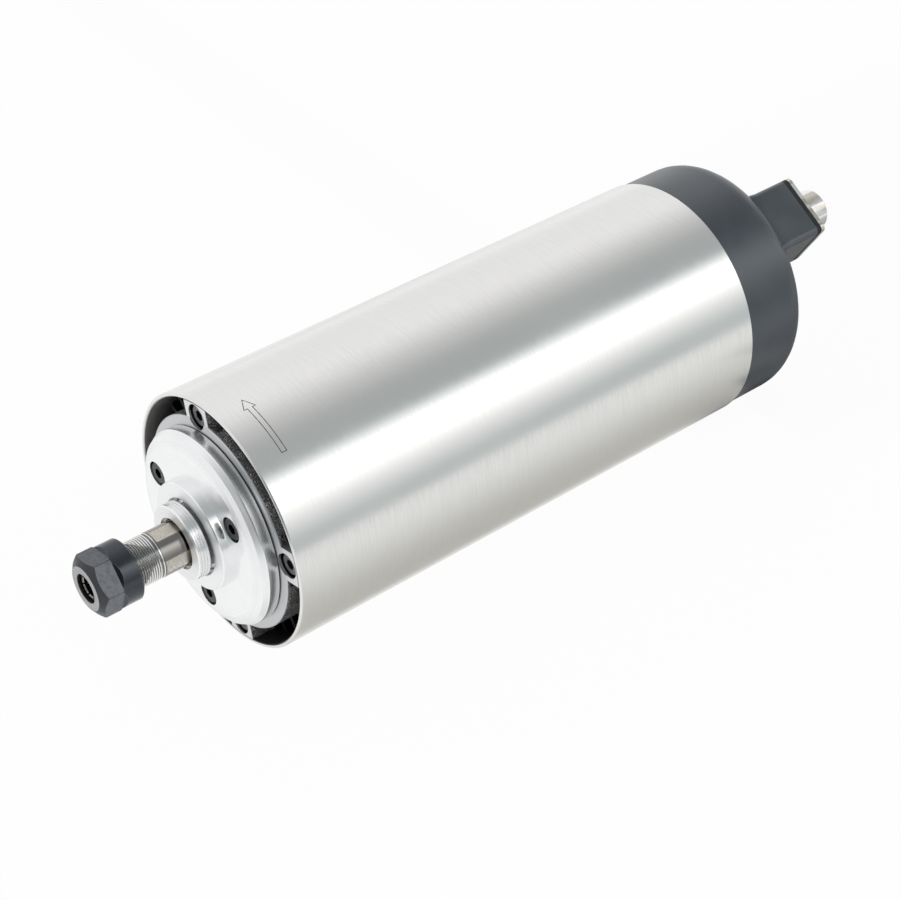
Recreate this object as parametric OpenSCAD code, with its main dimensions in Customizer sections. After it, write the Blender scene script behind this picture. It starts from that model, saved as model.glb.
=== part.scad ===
// Air-cooled motor spindle, 80 mm body, with collet nose and rear connector.
// The axis lies along X: nose towards -X, rear cap towards +X, +Z up.
// The origin is on the axis, in the plane of the body tube's front rim.
// Angles about the axis count from straight up, turning from +Z towards -Y.

/* [Body tube] */
// Outside diameter of the body tube
body_d = 80; // [79:0.5:84]
// Wall of the body tube
tube_wall = 1.2; // [1:0.1:1.6]
// Length of the body tube
body_l = 175.5; // [172:0.5:190]

/* [Front bearing housing] */
// Gap between the housing flange and the tube's wall
flange_gap = 5.3; // [4.8:0.1:5.8]
// How far the flange face stands ahead of the tube rim
flange_proud = 0.3; // [0.2:0.1:0.6]
// Thickness of the flange
flange_t = 8.3; // [8:0.1:10]
// Number of ears that hold the tube
ear_count = 4; // [4:1:4]
// Width of one ear
ear_w = 11; // [10:0.2:12]
// Angle of the first ear
ear_angle = -11.5; // [-14:0.5:-8]
// How far the ear faces lie behind the tube rim
ear_recess = 0; // [0:0.1:1]
// Distance from the tube's wall to the middle of an ear screw
ear_screw_in = 4.2; // [4:0.1:4.4]
// How far the ear screws' heads lie below the ear faces
ear_screw_sunk = 0.9; // [0.2:0.1:1.2]
// Width of the notch beside each ear
notch_w = 3; // [2:0.5:4]
// Depth of the notch beside each ear
notch_h = 2.5; // [1.5:0.5:3]
// Wall of the bearing hub outside the cover screws' holes
hub_wall = 0.75; // [0.5:0.05:1]
// Thickness of the lip behind the bearings
lip_t = 2.5; // [2:0.5:3]

/* [Front cover] */
// Step from the flange's edge in to the cover's edge
cover_step = 3; // [2.6:0.1:3.4]
// Thickness of the cover disc
cover_t = 6.7; // [6.2:0.1:7.5]
// Radial width of the bevel round the face
bevel_w = 4; // [3.6:0.2:4.6]
// Depth of the bevel along the axis
bevel_h = 2.7; // [2:0.1:3.2]
// Diameter of the boss at its foot
boss_d = 34; // [33.2:0.2:34.4]
// How much smaller the boss's radius is at its front
boss_taper = 0.2; // [0.1:0.1:0.6]
// Height of the boss above the disc
boss_h = 2.9; // [2.4:0.1:3.2]
// Number of cover screws
cover_screws_n = 3; // [3:1:6]
// Angle of the first cover screw
cover_screw_angle = -66; // [-70:1:-60]

/* [Spindle nose] */
// Gap between the labyrinth ring's collar and the boss
ring_gap = 0.9; // [0.7:0.1:1.3]
// Length of the labyrinth ring's collar
ring_l = 3.7; // [3.5:0.1:4.2]
// Diameter of the labyrinth ring's collar
ring_d = 23.4; // [23:0.1:24]
// Diameter of the sink round the shaft in the labyrinth ring
sink_d = 16; // [15.6:0.1:17]
// Depth of that sink
sink_depth = 1.2; // [0.8:0.1:1.6]
// Length of the wrench flats ahead of the labyrinth ring
flats_l = 7.8; // [7:0.2:9]
// Width across the wrench flats
flats_af = 13.1; // [13:0.1:13.4]
// Angle of the first wrench flat
flats_angle = 2; // [0:1:5]
// Diameter of the nose thread
thread_d = 14; // [14:0.1:14.2]
// Pitch of the nose thread
thread_pitch = 0.75; // [0.75:0.05:1]
// Length of the nose thread
thread_l = 17; // [16.5:0.5:19]
// Depth of the nose thread
thread_h = 0.4; // [0.3:0.05:0.45]

/* [Collet and nut] */
// Diameter of the collet bore
collet_bore = 6; // [5:0.5:6.5]
// Largest diameter of the collet
collet_d = 11.5; // [11.4:0.1:11.6]
// Length of the collet
collet_l = 18; // [17:0.5:19]
// Length of the collet's head ahead of the shaft
collet_head = 3.9; // [3.8:0.1:4.2]
// Half angle of the collet taper
taper_angle = 8; // [7.5:0.5:8]
// Slots cut from each end of the collet
collet_slots = 6; // [4:1:6]
// Width of one collet slot
slot_w = 0.5; // [0.4:0.1:0.7]
// How far the collet face lies inside the nut
collet_recess = 1; // [0.9:0.1:1.2]
// Length of the nut
nut_l = 13.3; // [12.8:0.1:14]
// Diameter of the nut's round collar
nut_d = 18.8; // [18.4:0.1:19.4]
// Length of the nut's round collar
nut_collar_l = 6.5; // [6:0.1:7]
// Width across the flats of the nut's hexagon
nut_af = 17; // [16.5:0.1:17.2]
// Run-out of a flat towards the collar, in length for each unit of depth
nut_slope = 1.3; // [1:0.1:1.6]
// Angle of the first corner of the hexagon
nut_angle = 19.4; // [15:0.1:25]
// Length of the cone at the front of the nut
nut_cone_l = 1.9; // [1.6:0.1:2.2]
// Diameter of the nut's front face
nut_face_d = 13.8; // [13:0.1:14.5]
// Diameter of the opening in the nut
nut_open_d = 8.8; // [8.4:0.1:9]

/* [Front bearings] */
// Bore of a front bearing
fb_d = 15; // [14.8:0.1:15.4]
// Outside diameter of a front bearing
fb_od = 32; // [31:0.5:33]
// Width of a front bearing
fb_w = 9; // [8.5:0.5:9.5]
// Ball diameter of a front bearing
fb_ball = 4.76; // [4.6:0.02:4.9]
// Balls in a front bearing
fb_balls = 11; // [9:1:11]
// Length of the spacer between the front bearings
spacer_l = 2; // [1.5:0.5:3]

/* [Rear bearing] */
// Bore of the rear bearing
rb_d = 12; // [11.8:0.1:12.4]
// Outside diameter of the rear bearing
rb_od = 28; // [27:0.5:29]
// Width of the rear bearing
rb_w = 8; // [7.5:0.5:8.5]
// Ball diameter of the rear bearing
rb_ball = 4.76; // [4.6:0.02:4.9]
// Balls in the rear bearing
rb_balls = 8; // [7:1:9]
// Height of the wave spring when loaded
spring_h = 1.6; // [1.4:0.1:2]

/* [Motor] */
// Height of the cooling fins, with their gap to the tube
fin_h = 5.8; // [5.4:0.1:6.2]
// Wall of the jacket under its fins
jacket_wall = 3.5; // [3:0.1:3.7]
// Number of cooling fins
fin_count = 32; // [24:4:36]
// Thickness of one cooling fin
fin_t = 1.6; // [1.2:0.1:2]
// Length of the stator core
stator_l = 80; // [60:1:84]
// Bore of the stator core
stator_bore = 30; // [29:0.5:31]
// Number of stator slots
stator_slots = 18; // [12:6:24]
// Air gap between rotor and stator
air_gap = 0.5; // [0.4:0.1:0.8]
// Length of one end turn of the winding
end_turn_l = 14; // [10:1:16]
// Diameter of the shaft inside the rotor
rotor_seat_d = 20; // [18:1:21]
// Bars in the rotor cage
rotor_bars = 14; // [10:2:16]

/* [Rear housing and fan] */
// Space from the end of the jacket to the end of the tube
rear_space = 25.5; // [25:0.5:28]
// Thickness of the rear housing's disc
rear_disc_t = 6; // [5:0.5:7]
// Wall round the rear bearing
rear_hub_wall = 3; // [2.5:0.25:4]
// Space between the fan's blades and the tube's wall
fan_space = 10.8; // [10.4:0.2:12]
// Length of the fan along the axis
fan_l = 13; // [11:0.5:14]
// Number of fan blades
fan_blades = 9; // [7:1:11]
// Diameter of the shaft under the fan
fan_seat_d = 10; // [9:0.5:11]
// Pitch of the fan blades to the axis
fan_pitch = 38; // [30:1:42]

/* [Rear cap] */
// Step from the tube's outside in to the cap's
cap_step = 0.5; // [0.3:0.1:0.7]
// Length of the rear cap behind the tube
cap_l = 26; // [25:0.5:30]
// Radius of the cap's rear edge
cap_round = 8; // [6:0.5:8.5]
// Wall of the cap
cap_wall = 2.2; // [2:0.1:2.6]
// Wall of the cap's rear face
cap_back = 3; // [2.5:0.1:3.5]
// Length of the cap's spigot in the tube
spigot_l = 8; // [6:0.5:10]
// Angle of the connector box
box_angle = 31; // [28:1:34]
// Sideways offset of the connector box
box_offset = 1.4; // [1:0.1:1.8]
// Side of the square connector box
box_side = 21; // [20.5:0.1:22]
// Step from the cap's outside in to the box's outer face
box_step = 2.9; // [2.5:0.1:3.5]
// Length of the box behind the cap's rear face
box_l = 12.5; // [12:0.5:16]
// Wall of the connector box
box_wall = 2; // [1.6:0.1:2.2]
// Radius of the box's edges
box_round = 1.8; // [1:0.1:2.5]
// Step between two slots of the air grille, in degrees
grille_step = 12; // [12:1:15]
// Width of one slot of the air grille
grille_w = 2.2; // [1.8:0.1:2.4]
// Distance from the cap's outside to the middle of a cap screw
cap_screw_in = 6.1; // [5.9:0.1:6.3]

/* [Connector] */
// Thickness of the gasket
gasket_t = 1.8; // [1.4:0.1:2.2]
// Thickness of the connector's flange
conn_flange_t = 1.4; // [1.2:0.1:1.8]
// Diameter of the connector shell
shell_d = 13.2; // [12.8:0.1:14]
// Length of the connector shell behind its flange
shell_l = 9.8; // [9:0.1:11]
// Wall of the connector shell
shell_wall = 1.4; // [1.2:0.1:1.6]
// Distance from the middle of the flange to its screws, both ways
conn_screw_p = 7.6; // [7.5:0.1:7.8]
// Diameter of a connector pin
pin_d = 1.6; // [1.4:0.1:2]
// Number of connector pins
pin_count = 4; // [3:1:4]

/* [Screws and leads] */
// Thread diameter of the cover, ear and housing screws
screw_d = 4; // [3.8:0.1:4]
// Thread diameter of the connector screws
small_screw_d = 2.5; // [2.3:0.1:2.6]
// Diameter of one lead
lead_d = 1.4; // [1.2:0.1:1.5]

/* [Hidden] */

// Clearances between pieces
fit = 0.02;           // seats inside one body
thread_gap = 0.05;    // screws in their tapped holes
hole_gap = 0.2;       // screws in their clearance holes
head_gap = 0.4;       // screw heads in their counterbores
taper_gap = 0.04;     // collet in the shaft's taper
nut_gap = 0.12;       // nut on the thread and on the collet's front cone
run_gap = 0.3;        // labyrinth ring in the cover
race_gap = 0.06;      // balls in their races
over = 0.5;           // how far a cutting solid reaches past a face

// Radii that several pieces share
tube_r = body_d / 2 - tube_wall;
bore_fit_r = tube_r - 0.1;
fb_or = fb_od / 2;
rb_or = rb_od / 2;
thread_r = thread_d / 2;
flange_r = tube_r - flange_gap;
cover_r = flange_r - cover_step;
boss_r = boss_d / 2;
cover_screw_r = (boss_r + cover_r - bevel_w) / 2;
hub_r = cover_screw_r + screw_d / 2 + hub_wall;
ear_screw_r = tube_r - ear_screw_in;
fin_root_r = tube_r - fin_h;
jacket_r = fin_root_r - jacket_wall;
spigot_wall = 1.3;
cap_r = body_d / 2 - cap_step;
box_face = cap_r - box_step;
cap_screw_r = cap_r - cap_screw_in;
fan_r = tube_r - fan_space;
rear_hub_r = rb_or + rear_hub_wall;
ear_span = 360 / ear_count;

// Stations along the axis, from the nose to the rear
x_flange = -flange_proud;
x_cover = x_flange - cover_t;
x_boss = x_cover - boss_h;
x_ring_back = x_boss - ring_gap;
x_ring = x_ring_back - ring_l;
x_thread_end = x_ring - flats_l;
x_nose = x_thread_end - thread_l;
x_collet = x_nose - collet_head;
x_nut = x_collet - collet_recess;
x_fb_a = 0;
x_spacer = x_fb_a + fb_w;
x_fb_b = x_spacer + spacer_l;
x_lip = x_fb_b + fb_w;
x_hub_end = x_lip + lip_t;
x_jacket = x_flange + flange_t;
x_jacket_end = body_l - rear_space;
x_stator = (x_jacket + x_jacket_end) / 2 - stator_l / 2 + 6;
x_stator_end = x_stator + stator_l;
x_rear_disc = x_jacket_end + rear_disc_t;
x_rb = x_jacket_end + 3;
x_rb_end = x_rb + rb_w;
x_rear_lip = x_rb_end + spring_h;
x_rear_hub_end = x_rear_lip + 2;
x_fan = x_rear_hub_end + 3;
x_fan_end = x_fan + fan_l;
x_shaft_end = x_fan_end + 4;
x_cap_end = body_l + cap_l;
x_box_end = x_cap_end + box_l;
x_conn_flange = x_box_end + gasket_t;
x_conn_face = x_conn_flange + conn_flange_t;
x_shell_end = x_conn_face + shell_l;

x_winding_end = x_stator_end + end_turn_l;
x_box_start = x_fan_end + 2.5;
x_cap_screw = x_cap_end - 12;
x_insert = x_box_end - 6;
x_insert_end = x_conn_face + 1.2;
pin_circle_r = pin_d / 2 + 1.7;
sunk_h = 1;

// Posts of the rear cap, and the hole by which the leads pass the rear housing
post_r = 4.4;
lead_hole_r = (jacket_r - spigot_wall + rear_hub_r) / 2;
lead_hole_d = 5.4;
lip_w = 3;            // radial width of the lips behind the bearings
spacer_wall = 2;
grommet_lip = 0.5;

// Screws: head and socket follow the thread
function head_r(d) = 0.875 * d;
function head_h(d) = d;
sink_r = head_r(screw_d) + head_gap;
cover_sink = head_h(screw_d) + 0.3;
ear_sink = head_h(screw_d) + ear_screw_sunk;
cover_screw_l = 12;
ear_screw_l = 12;
rear_screw_l = 16;
small_screw_l = 8;
pin_tip_l = 3.2;

// Helpers
function arc(cx, cr, r, a0, a1, n) = [for (i = [0:n]) let (a = a0 + (a1 - a0) * i / n)
    [cx + r * cos(a), cr + r * sin(a)]];
function rounded(w, h, r, n = 5) = concat(arc(w/2 - r, h/2 - r, r, 0, 90, n),
    arc(r - w/2, h/2 - r, r, 90, 180, n), arc(r - w/2, r - h/2, r, 180, 270, n),
    arc(w/2 - r, r - h/2, r, 270, 360, n));

// Turns an outline of [x, radius] points about the axis
module lathe(outline, sides = 96) {
    rotate([0, 90, 0]) rotate_extrude($fn = sides) polygon([for (p = outline) [p[1], p[0]]]);
}

// A round bar along the axis from x0 to x1
module bar(x0, x1, r, sides = 96) {
    translate([x0, 0, 0]) rotate([0, 90, 0]) cylinder(h = x1 - x0, r = r, $fn = sides);
}

// A tube along the axis from x0 to x1
module sleeve(x0, x1, outer, inner, sides = 96) {
    difference() {
        bar(x0, x1, outer, sides);
        bar(x0 - over, x1 + over, inner, sides);
    }
}

// Places its children at an angle and radius about the axis
module around(angle, radius = 0) {
    rotate([angle, 0, 0]) translate([0, 0, radius]) children();
}

// Extrudes a flat shape, drawn in Y and Z, along X
module along_x(x0, x1) {
    translate([x0, 0, 0]) rotate([90, 0, 90]) linear_extrude(x1 - x0) children();
}

// The connector box's own frame: its middle lies on the children's X axis
module at_box() {
    rotate([box_angle, 0, 0]) translate([0, -box_offset, box_face - box_side / 2]) children();
}

// Socket-head screw: the underside of its head lies at x = 0, and its head towards -X
module socket_screw(d, l) {
    hr = head_r(d);
    hh = head_h(d);
    difference() {
        lathe([[-hh, 0], [-hh, hr - 0.1 * d], [-hh + 0.1 * d, hr], [0, hr], [0, d / 2],
            [l - 0.15 * d, d / 2], [l, 0.35 * d], [l, 0]], 32);
        bar(-hh - over, -0.45 * hh, 0.433 * d, 6);
    }
}

module body_tube() {
    edge = 0.3;
    color("gainsboro") lathe([[0, tube_r + edge], [0, body_d / 2 - edge], [edge, body_d / 2],
        [body_l - edge, body_d / 2], [body_l, body_d / 2 - edge], [body_l, tube_r + edge],
        [body_l - edge, tube_r], [edge, tube_r]], 128);
}

// Front housing: flange with four ears, and a hub that seats both front bearings
module front_housing() {
    pocket_r = jacket_r - spigot_wall - 1;
    spigot = 5;
    color("silver") difference() {
        union() {
            lathe([[x_flange, 0], [x_flange, flange_r - 0.3], [x_flange + 0.3, flange_r],
                [x_jacket, flange_r], [x_jacket, jacket_r - fit],
                [x_jacket + spigot, jacket_r - fit], [x_jacket + spigot, pocket_r],
                [x_jacket - 3, pocket_r], [x_jacket - 3, hub_r],
                [x_hub_end, hub_r], [x_hub_end, 0]]);
            for (i = [0:ear_count - 1]) around(ear_angle + i * ear_span)
                intersection() {
                    translate([ear_recess, -ear_w / 2, flange_r - 3])
                        cube([x_jacket - ear_recess, ear_w, body_d / 2 - flange_r + 3]);
                    bar(ear_recess - 1, x_jacket + 1, bore_fit_r);
                }
        }
        bar(x_flange - over, x_lip, fb_or + fit);
        bar(x_lip - over, x_hub_end + over, fb_or - lip_w);
        for (i = [0:ear_count - 1], side = [-1, 1]) around(ear_angle + i * ear_span)
            translate([x_flange + 1.1, side * (ear_w + notch_w) / 2 - notch_w / 2,
                flange_r - notch_h])
                cube([flange_t, notch_w, notch_h + 1]);
        for (i = [0:cover_screws_n - 1])
            around(cover_screw_angle + i * 360 / cover_screws_n, cover_screw_r)
                bar(x_flange - over, x_jacket + 3, screw_d / 2 + thread_gap, 32);
        for (i = [0:ear_count - 1]) around(ear_angle + i * ear_span, ear_screw_r) {
            bar(x_flange - over, ear_recess + ear_sink, sink_r, 48);
            bar(ear_recess, x_jacket + over, screw_d / 2 + hole_gap, 32);
        }
    }
}

// Front cover: bevelled disc with a stepped boss and the labyrinth bore
module front_cover() {
    ring_r = ring_d / 2;
    bore_r = ring_r - 0.7 + run_gap;
    recess_r = ring_r + 0.3;
    color("whitesmoke") difference() {
        lathe([[x_boss + 0.2, recess_r], [x_boss, recess_r + 0.2], [x_boss, boss_r - boss_taper - 0.3],
            [x_boss + 0.3, boss_r - boss_taper], [x_cover, boss_r], [x_cover, cover_r - bevel_w],
            [x_cover + 0.2 * bevel_h, cover_r - 0.62 * bevel_w],
            [x_cover + 0.55 * bevel_h, cover_r - 0.25 * bevel_w],
            [x_cover + bevel_h, cover_r - 0.3], [x_cover + bevel_h + 0.4, cover_r],
            [x_flange - 0.4, cover_r], [x_flange, cover_r - 0.4],
            [x_flange, fb_or - fit], [x_fb_a, fb_or - fit], [x_fb_a, fb_or - lip_w],
            [x_flange - 2.5, fb_or - lip_w], [x_flange - 2.5, bore_r],
            [x_cover - 0.3, bore_r], [x_cover - 0.3, recess_r]]);
        for (i = [0:cover_screws_n - 1])
            around(cover_screw_angle + i * 360 / cover_screws_n, cover_screw_r) {
                bar(x_cover - over, x_cover + cover_sink, sink_r, 48);
                bar(x_cover, x_flange + over, screw_d / 2 + hole_gap, 32);
            }
    }
}

module cover_screws() {
    color("dimgray") for (i = [0:cover_screws_n - 1])
        around(cover_screw_angle + i * 360 / cover_screws_n, cover_screw_r)
            translate([x_cover + cover_sink, 0, 0]) socket_screw(screw_d, cover_screw_l);
}

module ear_screws() {
    color("dimgray") for (i = [0:ear_count - 1]) around(ear_angle + i * ear_span, ear_screw_r)
        translate([ear_recess + ear_sink, 0, 0]) socket_screw(screw_d, ear_screw_l);
}

// Labyrinth ring: grooved collar outside, two sealing lands inside the cover
module labyrinth_ring() {
    ring_r = ring_d / 2;
    land_r = ring_r - 0.7;
    groove = 0.3;
    pitch = 0.9;
    grooves = [for (i = [0:2], k = [0:3]) [x_ring + 0.8 + i * pitch + [0, 0, groove, groove][k],
        ring_r - [0, 0.25, 0.25, 0][k]]];
    color("gainsboro") lathe(concat(
        [[x_ring, sink_d / 2], [x_ring, ring_r - 0.4], [x_ring + 0.4, ring_r]],
        grooves,
        [[x_ring_back, ring_r], [x_ring_back, land_r - 1.2], [x_cover - 0.3, land_r - 1.2],
         [x_cover - 0.3, land_r], [x_cover + 1.2, land_r], [x_cover + 1.2, land_r - 0.8],
         [x_cover + 2, land_r - 0.8], [x_cover + 2, land_r], [x_flange - 3.2, land_r],
         [x_flange - 3.2, fb_d / 2 + 2], [x_fb_a, fb_d / 2 + 2], [x_fb_a, fb_d / 2 + fit],
         [x_ring + sink_depth, fb_d / 2 + fit], [x_ring + sink_depth, sink_d / 2]]));
}

// Shaft: nose with thread, flats and taper, journals, rotor seat and fan seat
module shaft() {
    taper_l = collet_l - collet_head + 1;
    taper_end_r = collet_d / 2 + taper_gap - taper_l * tan(taper_angle);
    threads = floor((thread_l - 0.6) / thread_pitch);
    crests = [for (i = [0:threads - 1], k = [0:1])
        [x_nose + 0.6 + (i + k / 2) * thread_pitch, thread_r - k * thread_h]];
    x_neck = x_ring + 2;
    color("darkgray") difference() {
        lathe(concat([[x_nose, 0], [x_nose, thread_r - 0.5]], crests,
            [[x_thread_end, thread_r], [x_neck - 0.2, thread_r], [x_neck, fb_d / 2],
             [x_lip, fb_d / 2], [x_lip, fb_d / 2 + 2.2], [x_hub_end + 2, fb_d / 2 + 2.2],
             [x_hub_end + 3, rotor_seat_d / 2 - 1], [x_stator - 8, rotor_seat_d / 2 - 1],
             [x_stator - 8, rotor_seat_d / 2 + 2], [x_stator - 5, rotor_seat_d / 2 + 2],
             [x_stator - 5, rotor_seat_d / 2], [x_stator_end + 6, rotor_seat_d / 2],
             [x_stator_end + 8, rb_d / 2 + 2], [x_rb, rb_d / 2 + 2], [x_rb, rb_d / 2],
             [x_rear_hub_end, rb_d / 2], [x_fan, rb_d / 2], [x_fan, fan_seat_d / 2],
             [x_fan_end + 0.2, fan_seat_d / 2], [x_fan_end + 0.2, fan_seat_d / 2 - 0.5],
             [x_fan_end + 1.3, fan_seat_d / 2 - 0.5], [x_fan_end + 1.3, fan_seat_d / 2],
             [x_shaft_end - 0.6, fan_seat_d / 2], [x_shaft_end, fan_seat_d / 2 - 0.6],
             [x_shaft_end, 0]]));
        lathe([[x_nose - over, 0], [x_nose - over, collet_d / 2 + taper_gap],
            [x_nose, collet_d / 2 + taper_gap], [x_nose + taper_l, taper_end_r],
            [x_nose + taper_l + 4, taper_end_r], [x_nose + taper_l + 6, 0]], 64);
        for (i = [0:3]) rotate([flats_angle + 90 * i, 0, 0])
            translate([x_thread_end + 0.25, -thread_r, flats_af / 2])
                cube([x_neck - 1.25 - x_thread_end, thread_d, 2]);
    }
}

// Collet: short front cone, groove for the nut's lip, long taper, slots from both ends
module collet() {
    r = collet_d / 2;
    cone_l = 1.73;
    groove_r = r - 1.05;
    taper_l = collet_l - collet_head;
    end_r = r - taper_l * tan(taper_angle);
    slot_l = collet_l - 3.5;
    color("lightslategray") difference() {
        lathe([[x_collet, collet_bore / 2 + 0.3], [x_collet, r - cone_l * tan(30)],
            [x_collet + cone_l, r], [x_collet + 2.2, r], [x_collet + 2.2, groove_r],
            [x_collet + 3.4, groove_r], [x_collet + 3.4, r], [x_nose, r],
            [x_collet + collet_l, end_r], [x_collet + collet_l, collet_bore / 2 + 0.2],
            [x_collet + collet_l - 0.2, collet_bore / 2], [x_collet + 0.3, collet_bore / 2]], 64);
        for (i = [0:collet_slots - 1]) {
            rotate([(i + 0.25) * 360 / collet_slots, 0, 0])
                translate([x_collet - over, -slot_w / 2, 0]) cube([slot_l + over, slot_w, r + 1]);
            rotate([(i + 0.75) * 360 / collet_slots, 0, 0])
                translate([x_collet + collet_l - slot_l, -slot_w / 2, 0])
                    cube([slot_l + over, slot_w, r + 1]);
        }
    }
}

// Collet nut: round collar, chamfered hexagon, front cone, and an eccentric lip inside
module collet_nut() {
    x_back = x_nut + nut_l;
    x_collar = x_back - nut_collar_l;
    cone_l = 1.73;
    lip_x = x_collet + 2.45;
    nut_lip_w = 0.7;
    in_r = thread_r + nut_gap;
    mouth_r = collet_d / 2 - cone_l * tan(30) + nut_gap;
    flat = nut_af / 2;
    corner_r = nut_af / sqrt(3) - 0.12;
    color([0.16, 0.17, 0.19]) difference() {
        lathe([[x_nut, 0], [x_nut, nut_face_d / 2], [x_nut + nut_cone_l, corner_r],
            [x_collar - 0.2, corner_r], [x_collar + 0.1, nut_d / 2],
            [x_back - 0.4, nut_d / 2], [x_back, nut_d / 2 - 0.4], [x_back, 0]]);
        for (i = [0:5]) rotate([nut_angle + 30 + 60 * i, 0, 0]) rotate([90, 0, 0])
            linear_extrude(height = nut_d, center = true)
                polygon([[x_nut - over, flat], [x_collar, flat],
                    [x_collar + 2 * nut_slope, flat + 2], [x_nut - over, flat + 2]]);
        lathe([[x_nut - over, 0], [x_nut - over, nut_open_d / 2 + 0.2], [x_nut, nut_open_d / 2 + 0.2],
            [x_nut + 0.2, nut_open_d / 2], [x_collet - 0.2, nut_open_d / 2],
            [x_collet - 0.2, mouth_r - 0.2 * tan(30)],
            [x_collet + cone_l, collet_d / 2 + nut_gap], [x_collet + cone_l, in_r - 0.8],
            [lip_x, in_r - 0.8], [lip_x, 0]], 64);
        translate([0, 0.75, 0]) bar(lip_x - 0.1, lip_x + nut_lip_w + 0.1, collet_d / 2 + 0.3, 64);
        lathe([[lip_x + nut_lip_w, 0], [lip_x + nut_lip_w, in_r], [x_back - 0.6, in_r],
            [x_back + 0.1, in_r + 0.7], [x_back + over, in_r + 0.7], [x_back + over, 0]], 64);
    }
}

// Bearings: each module draws one piece of a deep-groove bearing that starts at x
function pitch_r(d, od) = (d + od) / 4;
land = 1.4;           // from the ball circle to the lands of both rings

module race(x, w, pitch, ball) {
    translate([x + w / 2, 0, 0]) rotate([0, 90, 0]) rotate_extrude($fn = 96)
        translate([pitch, 0]) circle(r = ball / 2 + race_gap, $fn = 48);
}

module bearing_outer(x, d, od, w, ball) {
    p = pitch_r(d, od);
    difference() {
        lathe([[x, p + land], [x, od / 2 - 0.3], [x + 0.3, od / 2], [x + w - 0.3, od / 2],
            [x + w, od / 2 - 0.3], [x + w, p + land]]);
        race(x, w, p, ball);
    }
}

module bearing_inner(x, d, od, w, ball) {
    p = pitch_r(d, od);
    difference() {
        lathe([[x, d / 2 + fit], [x, p - land], [x + w, p - land], [x + w, d / 2 + fit]]);
        race(x, w, p, ball);
    }
}

module bearing_balls(x, d, od, w, ball, n) {
    for (i = [0:n - 1]) around(i * 360 / n, pitch_r(d, od))
        translate([x + w / 2, 0, 0]) sphere(d = ball - 2 * race_gap, $fn = 32);
}

module bearing_cage(x, d, od, w, ball, n) {
    p = pitch_r(d, od);
    difference() {
        sleeve(x + w / 2 - 0.675 * ball, x + w / 2 + 0.675 * ball, p + 0.19 * ball, p - 0.105 * ball);
        for (i = [0:n - 1]) around(i * 360 / n, p)
            translate([x + w / 2, 0, 0]) sphere(d = ball + 0.1, $fn = 32);
    }
}

module front_bearing_a_outer() { color("silver") bearing_outer(x_fb_a, fb_d, fb_od, fb_w, fb_ball); }
module front_bearing_a_inner() { color("silver") bearing_inner(x_fb_a, fb_d, fb_od, fb_w, fb_ball); }
module front_bearing_a_cage() { color("tan") bearing_cage(x_fb_a, fb_d, fb_od, fb_w, fb_ball, fb_balls); }
module front_bearing_a_balls() {
    color("white") bearing_balls(x_fb_a, fb_d, fb_od, fb_w, fb_ball, fb_balls);
}
module front_bearing_b_outer() { color("silver") bearing_outer(x_fb_b, fb_d, fb_od, fb_w, fb_ball); }
module front_bearing_b_inner() { color("silver") bearing_inner(x_fb_b, fb_d, fb_od, fb_w, fb_ball); }
module front_bearing_b_cage() { color("tan") bearing_cage(x_fb_b, fb_d, fb_od, fb_w, fb_ball, fb_balls); }
module front_bearing_b_balls() {
    color("white") bearing_balls(x_fb_b, fb_d, fb_od, fb_w, fb_ball, fb_balls);
}
module rear_bearing_outer() { color("silver") bearing_outer(x_rb, rb_d, rb_od, rb_w, rb_ball); }
module rear_bearing_inner() { color("silver") bearing_inner(x_rb, rb_d, rb_od, rb_w, rb_ball); }
module rear_bearing_cage() { color("tan") bearing_cage(x_rb, rb_d, rb_od, rb_w, rb_ball, rb_balls); }
module rear_bearing_balls() {
    color("white") bearing_balls(x_rb, rb_d, rb_od, rb_w, rb_ball, rb_balls);
}

module outer_spacer() { color("silver") sleeve(x_spacer, x_fb_b, fb_or, fb_or - lip_w); }
module inner_spacer() { color("silver") sleeve(x_spacer, x_fb_b, fb_d / 2 + spacer_wall, fb_d / 2 + fit); }

// Wave spring: a thin ring bent into three waves, between the outer ring and the lip
module wave_spring() {
    steps = 48;
    t = 0.4;
    r0 = rb_or - 2.6;
    r1 = rb_or - 0.4;
    lift = (spring_h - t) / 2;
    x_mid = x_rb_end + spring_h / 2;
    pts = [for (i = [0:steps - 1], k = [0:3]) let (a = i * 360 / steps, r = k < 2 ? r0 : r1)
        [x_mid + lift * 0.98 * cos(3 * a) + (k % 2 == 0 ? -t / 2 : t / 2), -r * sin(a), r * cos(a)]];
    function q(i, k) = 4 * (i % steps) + k;
    faces = [for (i = [0:steps - 1], f = [[0, 1], [1, 3], [3, 2], [2, 0]])
        [q(i, f[1]), q(i, f[0]), q(i + 1, f[0]), q(i + 1, f[1])]];
    color("silver") polyhedron(pts, faces, convexity = 4);
}

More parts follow.
